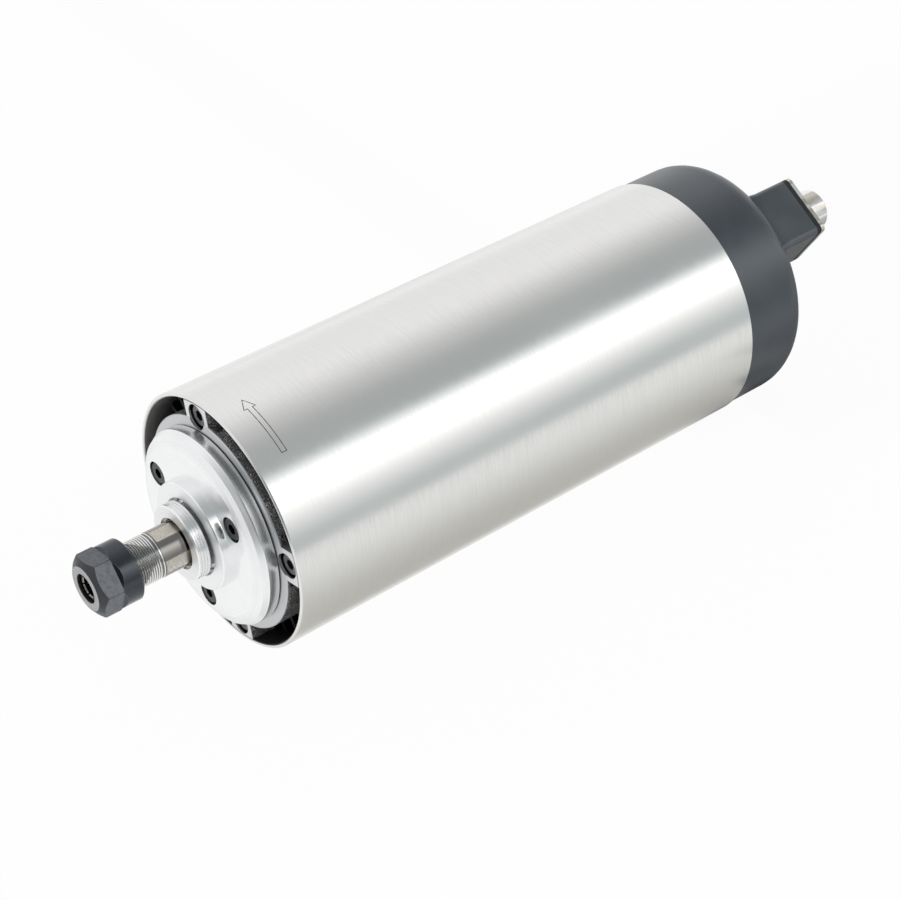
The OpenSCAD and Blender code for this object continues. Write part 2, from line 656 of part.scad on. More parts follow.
// Rear housing: disc with four ears and a hub for the rear bearing
module rear_housing() {
    color("silver") difference() {
        union() {
            lathe([[x_jacket_end - 3, 0], [x_jacket_end - 3, jacket_r - fit],
                [x_jacket_end, jacket_r - fit], [x_jacket_end, fin_root_r], [x_rear_disc, fin_root_r],
                [x_rear_disc, rear_hub_r], [x_rear_hub_end, rear_hub_r],
                [x_rear_hub_end, 0]]);
            for (i = [0:ear_count - 1]) around(ear_angle + i * ear_span, ear_screw_r)
                bar(x_jacket_end, x_rear_disc, bore_fit_r - ear_screw_r, 48);
            at_posts() bar(x_jacket_end, x_rear_disc, post_r, 48);
        }
        bar(x_jacket_end - 3 - over, x_rear_lip, rb_or + fit);
        bar(x_rear_lip - over, x_rear_hub_end + over, rb_or - lip_w);
        sleeve(x_jacket_end - 3 - over, x_jacket_end + rear_disc_t / 2, jacket_r - spigot_wall,
            rear_hub_r);
        for (i = [0:ear_count - 1]) around(ear_angle + i * ear_span, ear_screw_r)
            bar(x_jacket_end - over, x_rear_disc + over, screw_d / 2 + hole_gap, 32);
        at_posts() bar(x_jacket_end - over, x_rear_disc + over, screw_d / 2 + thread_gap, 32);
        around(box_angle, lead_hole_r)
            bar(x_jacket_end - over, x_rear_disc + over, lead_hole_d / 2, 32);
    }
}

module rear_housing_screws() {
    color("dimgray") for (i = [0:ear_count - 1]) around(ear_angle + i * ear_span, ear_screw_r)
        translate([x_rear_disc, 0, 0]) mirror([1, 0, 0]) socket_screw(screw_d, rear_screw_l);
}

// Grommet: a grooved rubber sleeve where the leads pass the rear housing
module lead_grommet() {
    in_r = lead_hole_d / 2 - 0.8;
    out_r = lead_hole_d / 2 - fit;
    x0 = x_jacket_end + rear_disc_t / 2;
    color([0.1, 0.1, 0.1]) around(box_angle, lead_hole_r)
        lathe([[x0 - 1, in_r], [x0 - 1, out_r + grommet_lip], [x0, out_r + grommet_lip], [x0, out_r],
            [x_rear_disc, out_r], [x_rear_disc, out_r + grommet_lip],
            [x_rear_disc + 1, out_r + grommet_lip], [x_rear_disc + 1, in_r]], 32);
}

// Jacket: extruded tube with fins along it and four bosses for the housing screws
module motor_jacket() {
    screw_boss_r = bore_fit_r - ear_screw_r;
    fin_step = 360 / fin_count;
    color([0.12, 0.12, 0.13]) difference() {
        along_x(x_jacket, x_jacket_end) difference() {
            union() {
                circle(r = fin_root_r, $fn = 96);
                for (i = [0:fin_count - 1]) rotate(ear_angle + (i + 0.5) * fin_step)
                    translate([-fin_t / 2, fin_root_r - 1])
                        square([fin_t, bore_fit_r - 0.1 - fin_root_r + 1]);
                for (i = [0:ear_count - 1]) rotate(ear_angle + i * ear_span)
                    translate([0, ear_screw_r]) circle(r = screw_boss_r, $fn = 48);
            }
            circle(r = jacket_r, $fn = 96);
        }
        for (i = [0:ear_count - 1]) around(ear_angle + i * ear_span, ear_screw_r) {
            bar(x_jacket - over, x_jacket + ear_screw_l, screw_d / 2 + thread_gap, 32);
            bar(x_jacket_end - rear_screw_l + 2, x_jacket_end + over, screw_d / 2 + thread_gap, 32);
        }
    }
}

slot_depth_r = jacket_r - 4;    // radius at the bottom of the stator slots
slot_width = 3;

// Stator core: laminated ring with slots open to the bore
module stator_core() {
    color([0.35, 0.36, 0.38]) difference() {
        sleeve(x_stator, x_stator_end, jacket_r - fit, stator_bore / 2);
        for (i = [0:stator_slots - 1]) rotate([i * 360 / stator_slots, 0, 0])
            translate([x_stator - over, -slot_width / 2, stator_bore / 2 - 1])
                cube([stator_l + 2 * over, slot_width, slot_depth_r - stator_bore / 2 + 1]);
    }
}

// Winding: a bar in each slot and a rounded end turn at both ends
module stator_winding() {
    r0 = stator_bore / 2 + 1;
    r1 = jacket_r - 1.5;
    round_r = 2.5;
    module end_turn(x0, x1) {
        lathe(concat(arc(x1 - round_r, r1 - round_r, round_r, 0, 90, 4),
            arc(x0 + round_r, r1 - round_r, round_r, 90, 180, 4),
            arc(x0 + round_r, r0 + round_r, round_r, 180, 270, 4),
            arc(x1 - round_r, r0 + round_r, round_r, 270, 360, 4)), 72);
    }
    color("sienna") {
        end_turn(x_stator - end_turn_l, x_stator - 0.5);
        end_turn(x_stator_end + 0.5, x_stator_end + end_turn_l);
        for (i = [0:stator_slots - 1]) rotate([i * 360 / stator_slots, 0, 0])
            translate([x_stator - 2, -slot_width / 2 + 0.2, r0 + 1])
                cube([stator_l + 4, slot_width - 0.4, slot_depth_r - r0 - 1.2]);
    }
}

bar_r = 1.3;          // radius of one rotor bar
bar_circle_r = stator_bore / 2 - air_gap - 2.2;

module rotor_core() {
    color([0.4, 0.41, 0.43]) difference() {
        sleeve(x_stator, x_stator_end, stator_bore / 2 - air_gap, rotor_seat_d / 2 + fit);
        for (i = [0:rotor_bars - 1]) around(i * 360 / rotor_bars, bar_circle_r)
            bar(x_stator - over, x_stator_end + over, bar_r + fit, 24);
    }
}

// Rotor cage: bars through the core, joined by a ring at each end
module rotor_cage() {
    ring_l = 5;
    color("lightgray") {
        for (x = [x_stator - ring_l, x_stator_end])
            sleeve(x, x + ring_l, stator_bore / 2 - air_gap - 0.3, rotor_seat_d / 2 + fit);
        for (i = [0:rotor_bars - 1]) around(i * 360 / rotor_bars, bar_circle_r)
            bar(x_stator - 1, x_stator_end + 1, bar_r, 24);
    }
}

// Fan: hub with cambered blades, each cut from the wall of a round shell
module cooling_fan() {
    fan_hub_r = 11;
    camber_r = 16;
    blade_t = 1.5;
    x_mid = x_fan + fan_l / 2;
    color([0.13, 0.13, 0.14]) difference() {
        union() {
            lathe([[x_fan, 0], [x_fan, fan_hub_r], [x_fan_end - 2, fan_hub_r], [x_fan_end, fan_hub_r - 2],
                [x_fan_end, 0]]);
            intersection() {
                sleeve(x_fan + 0.5, x_fan_end - 0.5, fan_r, fan_hub_r - 2);
                for (i = [0:fan_blades - 1]) rotate([i * 360 / fan_blades, 0, 0])
                    translate([x_mid, 0, 0]) rotate([0, 0, fan_pitch]) translate([0, camber_r - 2, 0])
                        intersection() {
                            difference() {
                                cylinder(h = fan_r + 1, r = camber_r, $fn = 64);
                                translate([0, 0, -1])
                                    cylinder(h = fan_r + 3, r = camber_r - blade_t, $fn = 64);
                            }
                            translate([-0.65 * fan_l, -camber_r - 1, fan_hub_r - 1.5])
                                cube([1.3 * fan_l, camber_r, fan_r]);
                        }
            }
        }
        bar(x_fan - over, x_fan_end + over, fan_seat_d / 2 + fit, 48);
    }
}

module fan_retaining_ring() {
    r = fan_seat_d / 2;
    color("dimgray") difference() {
        sleeve(x_fan_end + 0.25, x_fan_end + 1.25, r + 1.8, r - 0.45, 48);
        translate([x_fan_end, -1.5, 0]) cube([2, 3, r + 3]);
    }
}

// Rear cap: moulded shell with a rounded rear edge, connector box, air grille and posts
module cap_outline(x0, inset, back) {
    r = cap_r - inset;
    k = cap_round - inset;
    x1 = x_cap_end - back;
    lathe(concat([[x0, 0], [x0, r]], arc(x1 - k, r - k, k, 90, 0, 9), [[x1, 0]]), 128);
}

// Places its children at the three posts that carry the cap screws
module at_posts() {
    for (i = [1:ear_count - 1]) around(ear_angle + (i + 0.5) * ear_span, cap_screw_r) children();
}

module rear_cap() {
    inner_r = cap_r - cap_wall;
    spigot_r = inner_r - 1;
    grille_r0 = 15;
    grille_r1 = cap_r - cap_round - 3.5;
    keep_out = 46;
    slots = floor((360 - 2 * keep_out) / grille_step);
    first = box_angle + 180 - slots * grille_step / 2;
    fillet = 0.7;
    boss_l = 8;
    x_spigot = body_l - spigot_l;
    cavity = box_side - 2 * box_wall;
    color([0.25, 0.26, 0.28]) difference() {
        union() {
            difference() {
                union() {
                    cap_outline(body_l, 0, 0);
                    bar(x_spigot, body_l + 1, bore_fit_r, 128);
                }
                cap_outline(body_l + 1, cap_wall, cap_back);
                bar(x_spigot - over, body_l + 1 + over, spigot_r, 128);
            }
            intersection() {
                at_box() along_x(x_box_start, x_box_end)
                    polygon(rounded(box_side, box_side, box_round));
                union() {
                    cap_outline(body_l, 0, 0);
                    bar(x_cap_end - 1, x_box_end, cap_r);
                }
            }
            at_box() hull() {
                along_x(x_cap_end + fillet, x_cap_end + fillet + 0.1)
                    polygon(rounded(box_side, box_side, box_round));
                along_x(x_cap_end - 0.6 * cap_round, x_cap_end - 0.6 * cap_round + 0.1)
                    polygon(rounded(box_side + 2 * fillet, box_side, box_round));
            }
            at_posts() bar(x_rear_disc, body_l + 1, post_r, 48);
            intersection() {
                cap_outline(body_l, 0, 0);
                at_posts() bar(body_l, x_cap_end, post_r, 48);
            }
        }
        difference() {
            at_box() along_x(x_box_start - over, x_box_end + over)
                polygon(rounded(cavity, cavity, box_round));
            at_box() at_corners()
                bar(x_box_end - boss_l, x_box_end + 1, small_screw_d / 2 + 1.4, 32);
        }
        at_box() at_corners() bar(x_box_end - boss_l + 1, x_box_end + over,
            small_screw_d / 2 + thread_gap, 24);
        for (i = [0:slots]) rotate([first + i * grille_step, 0, 0])
            translate([x_cap_end - cap_back - over, -grille_w / 2, grille_r0])
                cube([cap_back + 2 * over, grille_w, grille_r1 - grille_r0]);
        at_posts() {
            bar(x_rear_disc - over, x_cap_end + over, screw_d / 2 + hole_gap, 32);
            bar(x_cap_screw, x_cap_end + over, post_r - 0.8, 48);
        }
    }
}

module cap_screws() {
    l = x_cap_screw - x_rear_disc + rear_disc_t - 0.5;
    color("dimgray") at_posts()
        translate([x_cap_screw, 0, 0]) mirror([1, 0, 0]) socket_screw(screw_d, l);
}

// Places its children at the four corners of the connector's flange
module at_corners() {
    for (y = [-1, 1], z = [-1, 1]) translate([0, y * conn_screw_p, z * conn_screw_p]) children();
}

module connector_gasket() {
    color([0.07, 0.07, 0.08]) at_box() difference() {
        along_x(x_box_end, x_conn_flange) polygon(rounded(box_side, box_side, box_round));
        bar(x_box_end - over, x_conn_flange + over, shell_d / 2 + 0.6, 64);
        at_corners() bar(x_box_end - over, x_conn_flange + over, small_screw_d / 2 + hole_gap, 24);
    }
}

// Connector shell: square flange, plain sleeve behind it and a body inside the box
module connector_shell() {
    r = shell_d / 2;
    depth = 8;
    color("lightgray") at_box() difference() {
        union() {
            along_x(x_conn_flange, x_conn_face)
                polygon(rounded(box_side, box_side, box_round));
            lathe([[x_box_end - depth, 0], [x_box_end - depth, r], [x_conn_face, r],
                [x_shell_end - 0.5, r], [x_shell_end, r - 0.5], [x_shell_end, 0]], 64);
        }
        bar(x_box_end - depth - over, x_shell_end + over, r - shell_wall, 64);
        at_corners() {
            bar(x_conn_flange - over, x_conn_face + over, small_screw_d / 2 + hole_gap, 24);
            lathe([[x_conn_face - sunk_h - 0.03, 0], [x_conn_face - sunk_h - 0.03, small_screw_d / 2],
                [x_conn_face + over - 0.03, small_screw_d / 2 + sunk_h + over],
                [x_conn_face + over - 0.03, 0]], 24);
        }
    }
}

// Insert: insulator disc that carries the pins in the middle of the shell
module connector_insert() {
    r = shell_d / 2 - shell_wall - fit;
    color([0.2, 0.2, 0.2]) at_box() difference() {
        bar(x_insert, x_insert_end, r, 64);
        at_pins() bar(x_insert - over, x_insert_end + over, pin_d / 2 + fit, 24);
    }
}

module at_pins() {
    for (i = [0:pin_count - 1]) around(45 + i * 360 / pin_count, pin_circle_r) children();
}

module connector_pins() {
    color("gold") at_box() at_pins()
        lathe([[x_insert - 3, 0], [x_insert - 3, pin_d / 2], [x_insert_end + pin_tip_l - 0.6, pin_d / 2],
            [x_insert_end + pin_tip_l, pin_d / 4], [x_insert_end + pin_tip_l, 0]], 24);
}

// Flange screws: sunk heads, flush with the flange
module connector_screws() {
    r = small_screw_d / 2;
    color("silver") at_box() at_corners() difference() {
        lathe([[x_conn_face - small_screw_l, 0], [x_conn_face - small_screw_l, r - 0.3],
            [x_conn_face - small_screw_l + 0.4, r],
            [x_conn_face - sunk_h, r], [x_conn_face, r + sunk_h], [x_conn_face, 0]], 24);
        bar(x_conn_face - 0.7 * sunk_h, x_conn_face + over, 0.5 * r, 6);
    }
}

// Leads: four wires from the winding, past the fan, to the pins. Each route point holds its
// place along the axis, its height above the axis in the box's plane, and three weights:
// in the square bundle, in the flat row, and at the pins.
box_mid = box_face - box_side / 2;
lead_start_r = jacket_r - 7.5;
lead_row_r = cap_r - 6.5;
route = [[x_winding_end, lead_start_r, 1, 0, 0], [x_winding_end + 4, lead_start_r, 1, 0, 0],
    [x_jacket_end + 2, lead_hole_r, 1, 0, 0], [x_rear_disc + 1, lead_hole_r, 1, 0, 0],
    [x_rear_disc + 5, lead_row_r - 6, 1, 0.6, 0], [x_fan - 3, lead_row_r - 1.5, 0, 1, 0],
    [x_fan + 1, lead_row_r, 0, 1, 0],
    [x_box_start, lead_row_r, 0, 1, 0], [x_box_start + 7, lead_row_r - 2, 0, 0.6, 0.4],
    [x_insert - 7, box_mid, 0, 0, 1], [x_insert - 3, box_mid, 0, 0, 1]];
bundle_p = lead_d / 2 + 0.05;
row_p = lead_d + 0.4;
pin_p = pin_circle_r * cos(45);

function lead_point(p, i) = let (a = i < 2 ? -1 : 1, b = i % 3 == 0 ? 1 : -1)
    [p[0], p[2] * a * bundle_p + p[3] * (i - 1.5) * row_p + p[4] * (a * pin_p - box_offset),
     p[1] + b * (p[2] * bundle_p + p[4] * pin_p)];
function spline(a, b, c, d, t) = 0.5 * (2 * b + (c - a) * t + (2 * a - 5 * b + 4 * c - d) * t * t
    + (3 * b - a - 3 * c + d) * t * t * t);
function smooth(p, n) = let (m = len(p) - 1) concat([for (i = [0:m - 1], k = [0:n - 1])
    spline(p[max(i - 1, 0)], p[i], p[i + 1], p[min(i + 2, m)], k / n)], [p[m]]);

// Sweeps a round section along points that run roughly along X
module sweep(pts, r, sides = 8) {
    m = len(pts) - 1;
    rings = [for (i = [0:m]) let (
        t = i == 0 || i == m ? [1, 0, 0] : pts[i + 1] - pts[i - 1],
        u = cross(t, [0, 1, 0]) / norm(cross(t, [0, 1, 0])),
        v = cross(t, u) / norm(t))
        each [for (k = [0:sides - 1]) pts[i] + r * (cos(k * 360 / sides) * u + sin(k * 360 / sides) * v)]];
    walls = [for (i = [0:m - 1], k = [0:sides - 1]) let (n = (k + 1) % sides)
        [i * sides + n, i * sides + k, (i + 1) * sides + k, (i + 1) * sides + n]];
    ends = [[for (k = [0:sides - 1]) k], [for (k = [sides - 1:-1:0]) m * sides + k]];
    polyhedron(rings, concat(walls, ends), convexity = 6);
}

module leads() {
    color("darkred") rotate([box_angle, 0, 0]) for (i = [0:pin_count - 1])
        sweep(smooth([for (p = route) lead_point(p, i)], 3), lead_d / 2);
}

body_tube();
front_housing();
front_cover();
cover_screws();
ear_screws();
labyrinth_ring();
shaft();
collet();
collet_nut();
front_bearing_a_outer();
front_bearing_a_inner();
front_bearing_a_cage();
front_bearing_a_balls();
front_bearing_b_outer();
front_bearing_b_inner();
front_bearing_b_cage();
front_bearing_b_balls();
outer_spacer();
inner_spacer();
rear_bearing_outer();
rear_bearing_inner();
rear_bearing_cage();
rear_bearing_balls();
wave_spring();
rear_housing();
rear_housing_screws();
lead_grommet();
motor_jacket();
stator_core();
stator_winding();
rotor_core();
rotor_cage();
cooling_fan();
fan_retaining_ring();
rear_cap();
cap_screws();
connector_gasket();
connector_shell();
connector_insert();
connector_pins();
connector_screws();
leads();
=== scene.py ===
"""Finishes, turning arrow and studio for an 80 mm motor spindle with a collet nut."""

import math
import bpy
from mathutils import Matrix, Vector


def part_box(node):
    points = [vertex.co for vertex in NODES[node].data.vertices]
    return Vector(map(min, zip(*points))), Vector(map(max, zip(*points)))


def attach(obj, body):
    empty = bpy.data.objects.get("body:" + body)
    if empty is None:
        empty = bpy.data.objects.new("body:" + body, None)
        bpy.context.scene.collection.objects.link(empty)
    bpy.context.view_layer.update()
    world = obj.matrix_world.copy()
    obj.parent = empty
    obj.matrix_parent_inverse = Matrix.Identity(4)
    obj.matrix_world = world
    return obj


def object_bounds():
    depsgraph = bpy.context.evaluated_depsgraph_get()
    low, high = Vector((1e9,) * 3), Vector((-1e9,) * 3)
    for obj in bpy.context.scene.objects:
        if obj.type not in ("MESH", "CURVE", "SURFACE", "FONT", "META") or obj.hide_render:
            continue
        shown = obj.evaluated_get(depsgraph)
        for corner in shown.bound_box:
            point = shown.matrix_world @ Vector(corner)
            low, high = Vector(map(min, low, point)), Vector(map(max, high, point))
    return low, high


bl_info = {
    "name": "Motor Spindle Dresser",
    "version": (1, 0, 0),
    "blender": (4, 5, 0),
    "location": "View3D > Sidebar > Spindle",
    "description": "Gives the parts of a motor spindle their finishes and lays out a studio",
    "category": "Object",
}

from functools import cached_property

import bmesh
import bpy
from bpy.props import FloatProperty, FloatVectorProperty, PointerProperty
from mathutils import Matrix, Vector

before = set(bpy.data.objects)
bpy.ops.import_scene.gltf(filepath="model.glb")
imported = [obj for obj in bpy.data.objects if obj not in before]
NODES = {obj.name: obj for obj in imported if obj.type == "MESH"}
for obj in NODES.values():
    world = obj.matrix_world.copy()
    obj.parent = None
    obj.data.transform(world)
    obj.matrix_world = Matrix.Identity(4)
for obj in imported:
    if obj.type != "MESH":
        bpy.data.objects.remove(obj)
CAD_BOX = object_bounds()
MM = 0.001
TUBE_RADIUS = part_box("body_tube")[1].y

# How far the limit between two finishes lies beside a face, so that the face is on one side of it.
BESIDE = 0.05 * MM


# Tools for building materials


def mm(*lengths):
    """Lengths in millimetres, turned into metres."""
    return [length * MM for length in lengths]


class Nodes:
    """The nodes of a material or of the world, with short calls for the ones it needs."""

    def __init__(self, tree):
        self.tree = tree

    def add(self, kind, **settings):
        """A new node with these settings."""
        node = self.tree.nodes.new(kind)
        for key, value in settings.items():
            setattr(node, key, value)
        return node

    def join(self, source, target):
        """Links one node's output to another's input."""
        self.tree.links.new(source, target)

    def feed(self, socket, value):
        """Gives a socket its value, which is a number, a colour or another node's output."""
        if isinstance(value, bpy.types.NodeSocket):
            self.join(value, socket)
        else:
            socket.default_value = value

    def split(self, vector):
        """The X, Y and Z of a vector."""
        node = self.add("ShaderNodeSeparateXYZ")
        self.join(vector, node.inputs[0])
        return node.outputs

    def calc(self, operation, *values):
        """One Math node."""
        node = self.add("ShaderNodeMath", operation=operation)
        for socket, value in zip(node.inputs, values):
            self.feed(socket, value)
        return node.outputs[0]

    def plus(self, first, second):
        """The sum of two values."""
        return self.calc("ADD", first, second)

    def minus(self, first, second):
        """The first value less the second."""
        return self.calc("SUBTRACT", first, second)

    def most(self, first, second):
        """The larger of two values, or where either of two masks is on."""
        return self.calc("MAXIMUM", first, second)

    def both(self, first, second):
        """The product of two values, or where both of two masks are on."""
        return self.calc("MULTIPLY", first, second)

    def outside(self, mask):
        """Where a mask is off."""
        return self.minus(1.0, mask)

    def under(self, value, limit):
        """A mask that is on where a value is under a limit."""
        return self.calc("LESS_THAN", value, limit)

    def over(self, value, limit):
        """A mask that is on where a value is over a limit."""
        return self.calc("GREATER_THAN", value, limit)

    def spread(self, value, low, high, to_low=0.0, to_high=1.0, curve="SMOOTHSTEP"):
        """A value from low to high, mapped to another range and held at its ends."""
        node = self.add("ShaderNodeMapRange", interpolation_type=curve)
        for socket, number in zip(node.inputs, (value, low, high, to_low, to_high)):
            self.feed(socket, number)
        return node.outputs[0]

    def patch(self, first, first_edges, second, second_edges):
        """A patch with soft edges, where two values are past their own edges."""
        return self.both(self.spread(first, *first_edges), self.spread(second, *second_edges))

    def dot(self, first, second):
        """How far two directions agree."""
        node = self.add("ShaderNodeVectorMath", operation="DOT_PRODUCT")
        self.feed(node.inputs[0], first)
        self.feed(node.inputs[1], second)
        return node.outputs["Value"]

    def mix(self, factor, first, second):
        """A colour between two others."""
        node = self.add("ShaderNodeMix", data_type="RGBA")
        self.feed(node.inputs["Factor"], factor)
        for socket, value in ((node.inputs["A"], first), (node.inputs["B"], second)):
            self.feed(socket, (*value, 1.0) if isinstance(value, tuple) else value)
        return node.outputs["Result"]

    def blend_shaders(self, share, first, second, output):
        """Sends two shaders, blended by a share, to the output node."""
        node = self.add("ShaderNodeMixShader")
        for socket, value in zip(node.inputs, (share, first.outputs[0], second.outputs[0])):
            self.join(value, socket)
        self.join(node.outputs[0], self.tree.nodes[output].inputs["Surface"])


class Finish(Nodes):
    """A material being made, which starts as one colour and gets its detail step by step."""

    def __init__(self, name, colour, metallic, roughness):
        self.material = bpy.data.materials.new(name)
        self.material.use_nodes = True
        super().__init__(self.material.node_tree)
        self.shader = self.tree.nodes["Principled BSDF"]
        self.shader.inputs["Base Color"].default_value = (*colour, 1.0)
        self.metallic(metallic)
        self.rough(roughness)
        self.place = self.add("ShaderNodeTexCoord").outputs["Object"]
        self.x, self.y, self.z = self.split(self.place)
        self.normal = None

    @cached_property
    def radius(self):
        """Distance from the spindle's axis."""
        return self.calc("SQRT", self.plus(self.both(self.y, self.y), self.both(self.z, self.z)))

    def metallic(self, value):
        """How metallic the surface is, as a number or a pattern."""
        self.feed(self.shader.inputs["Metallic"], value)

    def rough(self, value):
        """How rough the surface is, as a number or a pattern."""
        self.feed(self.shader.inputs["Roughness"], value)

    def noise(self, size, detail, stretch=(1.0, 1.0, 1.0)):
        """Noise with grains of one size in metres, pulled out along the axes by stretch."""
        turn = self.add("ShaderNodeMapping")
        self.join(self.place, turn.inputs["Vector"])
        turn.inputs["Scale"].default_value = [1.0 / s for s in stretch]
        node = self.add("ShaderNodeTexNoise")
        self.join(turn.outputs[0], node.inputs["Vector"])
        node.inputs["Scale"].default_value = 1.0 / size
        node.inputs["Detail"].default_value = detail
        return node.outputs[0]

    def lines(self, value, pitch, detail=2.0):
        """Uneven lines at about one pitch in metres along a value, as a lathe tool leaves."""
        node = self.add("ShaderNodeTexNoise", noise_dimensions="1D")
        self.join(value, node.inputs["W"])
        node.inputs["Scale"].default_value = 1.0 / pitch
        node.inputs["Detail"].default_value = detail
        return node.outputs[0]

    def turned(self, pitch):
        """Turning lines that follow the radius on faces and the length on cylinders."""
        return self.plus(self.lines(self.radius, pitch), self.lines(self.x, pitch))

    def tint(self, factor, second):
        """Blends the base colour towards a second one."""
        base = self.shader.inputs["Base Color"]
        first = base.links[0].from_socket if base.is_linked else tuple(base.default_value)[:3]
        self.join(self.mix(factor, first, second), base)

    def worn(self, radius, colour, amount):
        """Sharp edges rubbed towards another colour."""
        bevel = self.add("ShaderNodeBevel", samples=4)
        bevel.inputs["Radius"].default_value = radius
        geometry = self.add("ShaderNodeNewGeometry")
        flatness = self.dot(bevel.outputs[0], geometry.outputs["Normal"])
        self.tint(self.spread(flatness, 0.995, 0.88, 0.0, amount), colour)

    def rounded(self, radius):
        """Edges that catch the light as if they were broken by a small radius."""
        node = self.add("ShaderNodeBevel", samples=4)
        node.inputs["Radius"].default_value = radius
        self.turn_normal(node)

    def bump(self, height, distance):
        """Relief from a height, in metres."""
        node = self.add("ShaderNodeBump")
        node.inputs["Strength"].default_value = 1.0
        node.inputs["Distance"].default_value = distance
        self.join(height, node.inputs["Height"])
        self.turn_normal(node)

    def turn_normal(self, node):
        """Lets a node change the normal that the nodes before it gave."""
        if self.normal is not None:
            self.join(self.normal, node.inputs["Normal"])
        self.normal = node.outputs[0]
        self.join(self.normal, self.shader.inputs["Normal"])


def dress(finish, *nodes):
    """Puts a finish on the parts with these names."""
    for name in nodes:
        for slot in NODES[name].material_slots:
            slot.material = finish.material


def make_object(context, name, mesh, finish):
    """Turns a bmesh into an object of the scene, with a finish on it."""
    data = bpy.data.meshes.new(name)
    mesh.to_mesh(data)
    mesh.free()
    data.materials.append(finish.material)
    made = bpy.data.objects.new(name, data)
    context.scene.collection.objects.link(made)
    return made


# Sizes and colours that a user may change


def colour_prop(name, description, default):
    """A colour."""
    return FloatVectorProperty(
        name=name, description=description, default=default,
        subtype="COLOR", size=3, min=0.0, max=1.0,
    )


def share_prop(name, description, default):
    """A number from 0 to 1."""
    return FloatProperty(
        name=name, description=description, default=default,
        subtype="FACTOR", min=0.0, max=1.0,
    )


def length_prop(name, description, millimetres):
    """A length, whose default is given in millimetres."""
    return FloatProperty(
        name=name, description=description, default=millimetres * MM,
        unit="LENGTH", subtype="DISTANCE", precision=5,
    )


class SpindleFinishes(bpy.types.PropertyGroup):
    """Colours and roughness of the spindle's surfaces, and sizes that set off one finish."""

    steel: colour_prop("Tube steel", "Colour of the ground stainless tube", (0.795, 0.79, 0.775))
    steel_rough: share_prop("Tube roughness", "Roughness of the ground tube", 0.2)

    cast: colour_prop("Cast aluminium", "Colour of the blasted housing", (0.10, 0.10, 0.098))
    ear_angle: FloatProperty(
        name="Ear angle", description="Angle of the first ear", subtype="ANGLE",
        default=math.radians(-11.5),
    )
    ear_screw_radius: length_prop("Ear screw circle", "Radius on which the ear screws stand", 34.6)
    sink_radius: length_prop("Counterbore", "Radius of a screw's counterbore", 3.9)
    lip_depth: length_prop("Counterbore's lip", "Depth of the bright lip in a counterbore", 0.85)
    milled_depth: length_prop("Milled depth", "Depth of the milled face on the ears", 0.42)
    flange_width: length_prop("Flange", "Width of the milled flange round the front cover", 3.1)

    machined: colour_prop("Machined aluminium", "Colour of turned faces", (0.90, 0.905, 0.91))
    cover_rough: share_prop("Cover roughness", "Roughness of the turned front cover", 0.3)
    boss_height: length_prop("Boss", "Height of the cover's boss", 2.95)
    boss_side: length_prop("Boss side", "Radius beyond which the boss is smoother", 16.5)
    ring_hole: length_prop("Ring's sink", "Radius of the sink in the labyrinth ring", 8.0)

    shaft: colour_prop("Shaft steel", "Colour of the ground shaft", (0.82, 0.795, 0.745))
    thread_length: length_prop("Thread length", "Length of the thread on the shaft's nose", 17.0)
    thread_pitch: length_prop("Thread pitch", "Pitch of that thread", 0.75)
    thread_radius: length_prop("Thread radius", "Outside radius of that thread", 7.0)
    groove_depth: length_prop("Groove depth", "Depth at which a groove of it is darkest", 0.3)
    run_out: length_prop("Run-out", "Length of its last, weaker groove", 0.85)

    black_steel: colour_prop("Black steel", "Colour of blackened screws", (0.05, 0.052, 0.057))
    ear_screws: colour_prop("Ear screws", "Colour of the screws in the ears", (0.17, 0.17, 0.175))
    nut: colour_prop("Nut", "Colour of the blackened collet nut", (0.14, 0.148, 0.16))
    collar_length: length_prop("Collar length", "Length of the nut's round collar", 6.5)
    nut_face_radius: length_prop("Nut's face", "Radius of the nut's front face", 6.9)
    cone_slope: FloatProperty(
        name="Cone slope", description="Radius that the cone on the nut gains for its length",
        default=1.471,
    )
    mouth_radius: length_prop("Mouth radius", "Radius under which the nut's inside is dark", 6.0)

    cap: colour_prop("Cap", "Colour of the moulded rear cap", (0.018, 0.024, 0.033))
    rubber: colour_prop("Rubber", "Colour of gasket and grommet", (0.005, 0.007, 0.010))
    nickel: colour_prop("Nickel", "Colour of the connector's shell", (0.90, 0.89, 0.87))
    copper: colour_prop("Copper", "Colour of the winding's enamel", (0.62, 0.24, 0.09))


class SpindleMark(bpy.types.PropertyGroup):
    """Sizes of the turning arrow on the tube."""

    centre: length_prop("Centre", "Distance of the arrow's middle line from the front rim", 9.9)
    tip: length_prop("Tip", "Length round the tube from its top line to the tip", 1.2)
    head: length_prop("Head", "Length round the tube from its top line to the head's foot", 5.45)
    tail: length_prop("Tail", "Length round the tube from its top line to the tail", 22.2)
    head_half: length_prop("Head half width", "Half of the head's width", 2.15)
    shaft_half: length_prop("Shaft half width", "Half of the shaft's width", 0.95)
    line: length_prop("Line", "Width of the marked line", 0.24)
    depth: length_prop("Depth", "Thickness of the marked layer", 0.05)
    colour: colour_prop("Mark", "Colour of the marked line", (0.075, 0.072, 0.07))


class SpindleStudio(bpy.types.PropertyGroup):
    """Camera, floor and light."""

    floor: length_prop("Floor level", "Height of the floor in the part's frame", -40.0)
    floor_radius: length_prop("Floor radius", "Radius of the round floor", 450.0)
    lens: FloatProperty(
        name="Lens", description="Focal length of the camera", unit="CAMERA", default=83.418
    )
    level: FloatProperty(
        name="Light level", description="Strength of the studio's light", subtype="FACTOR",
        min=0.0, max=2.0, default=1.0,
    )


# Finishes, one operator for each group of like parts


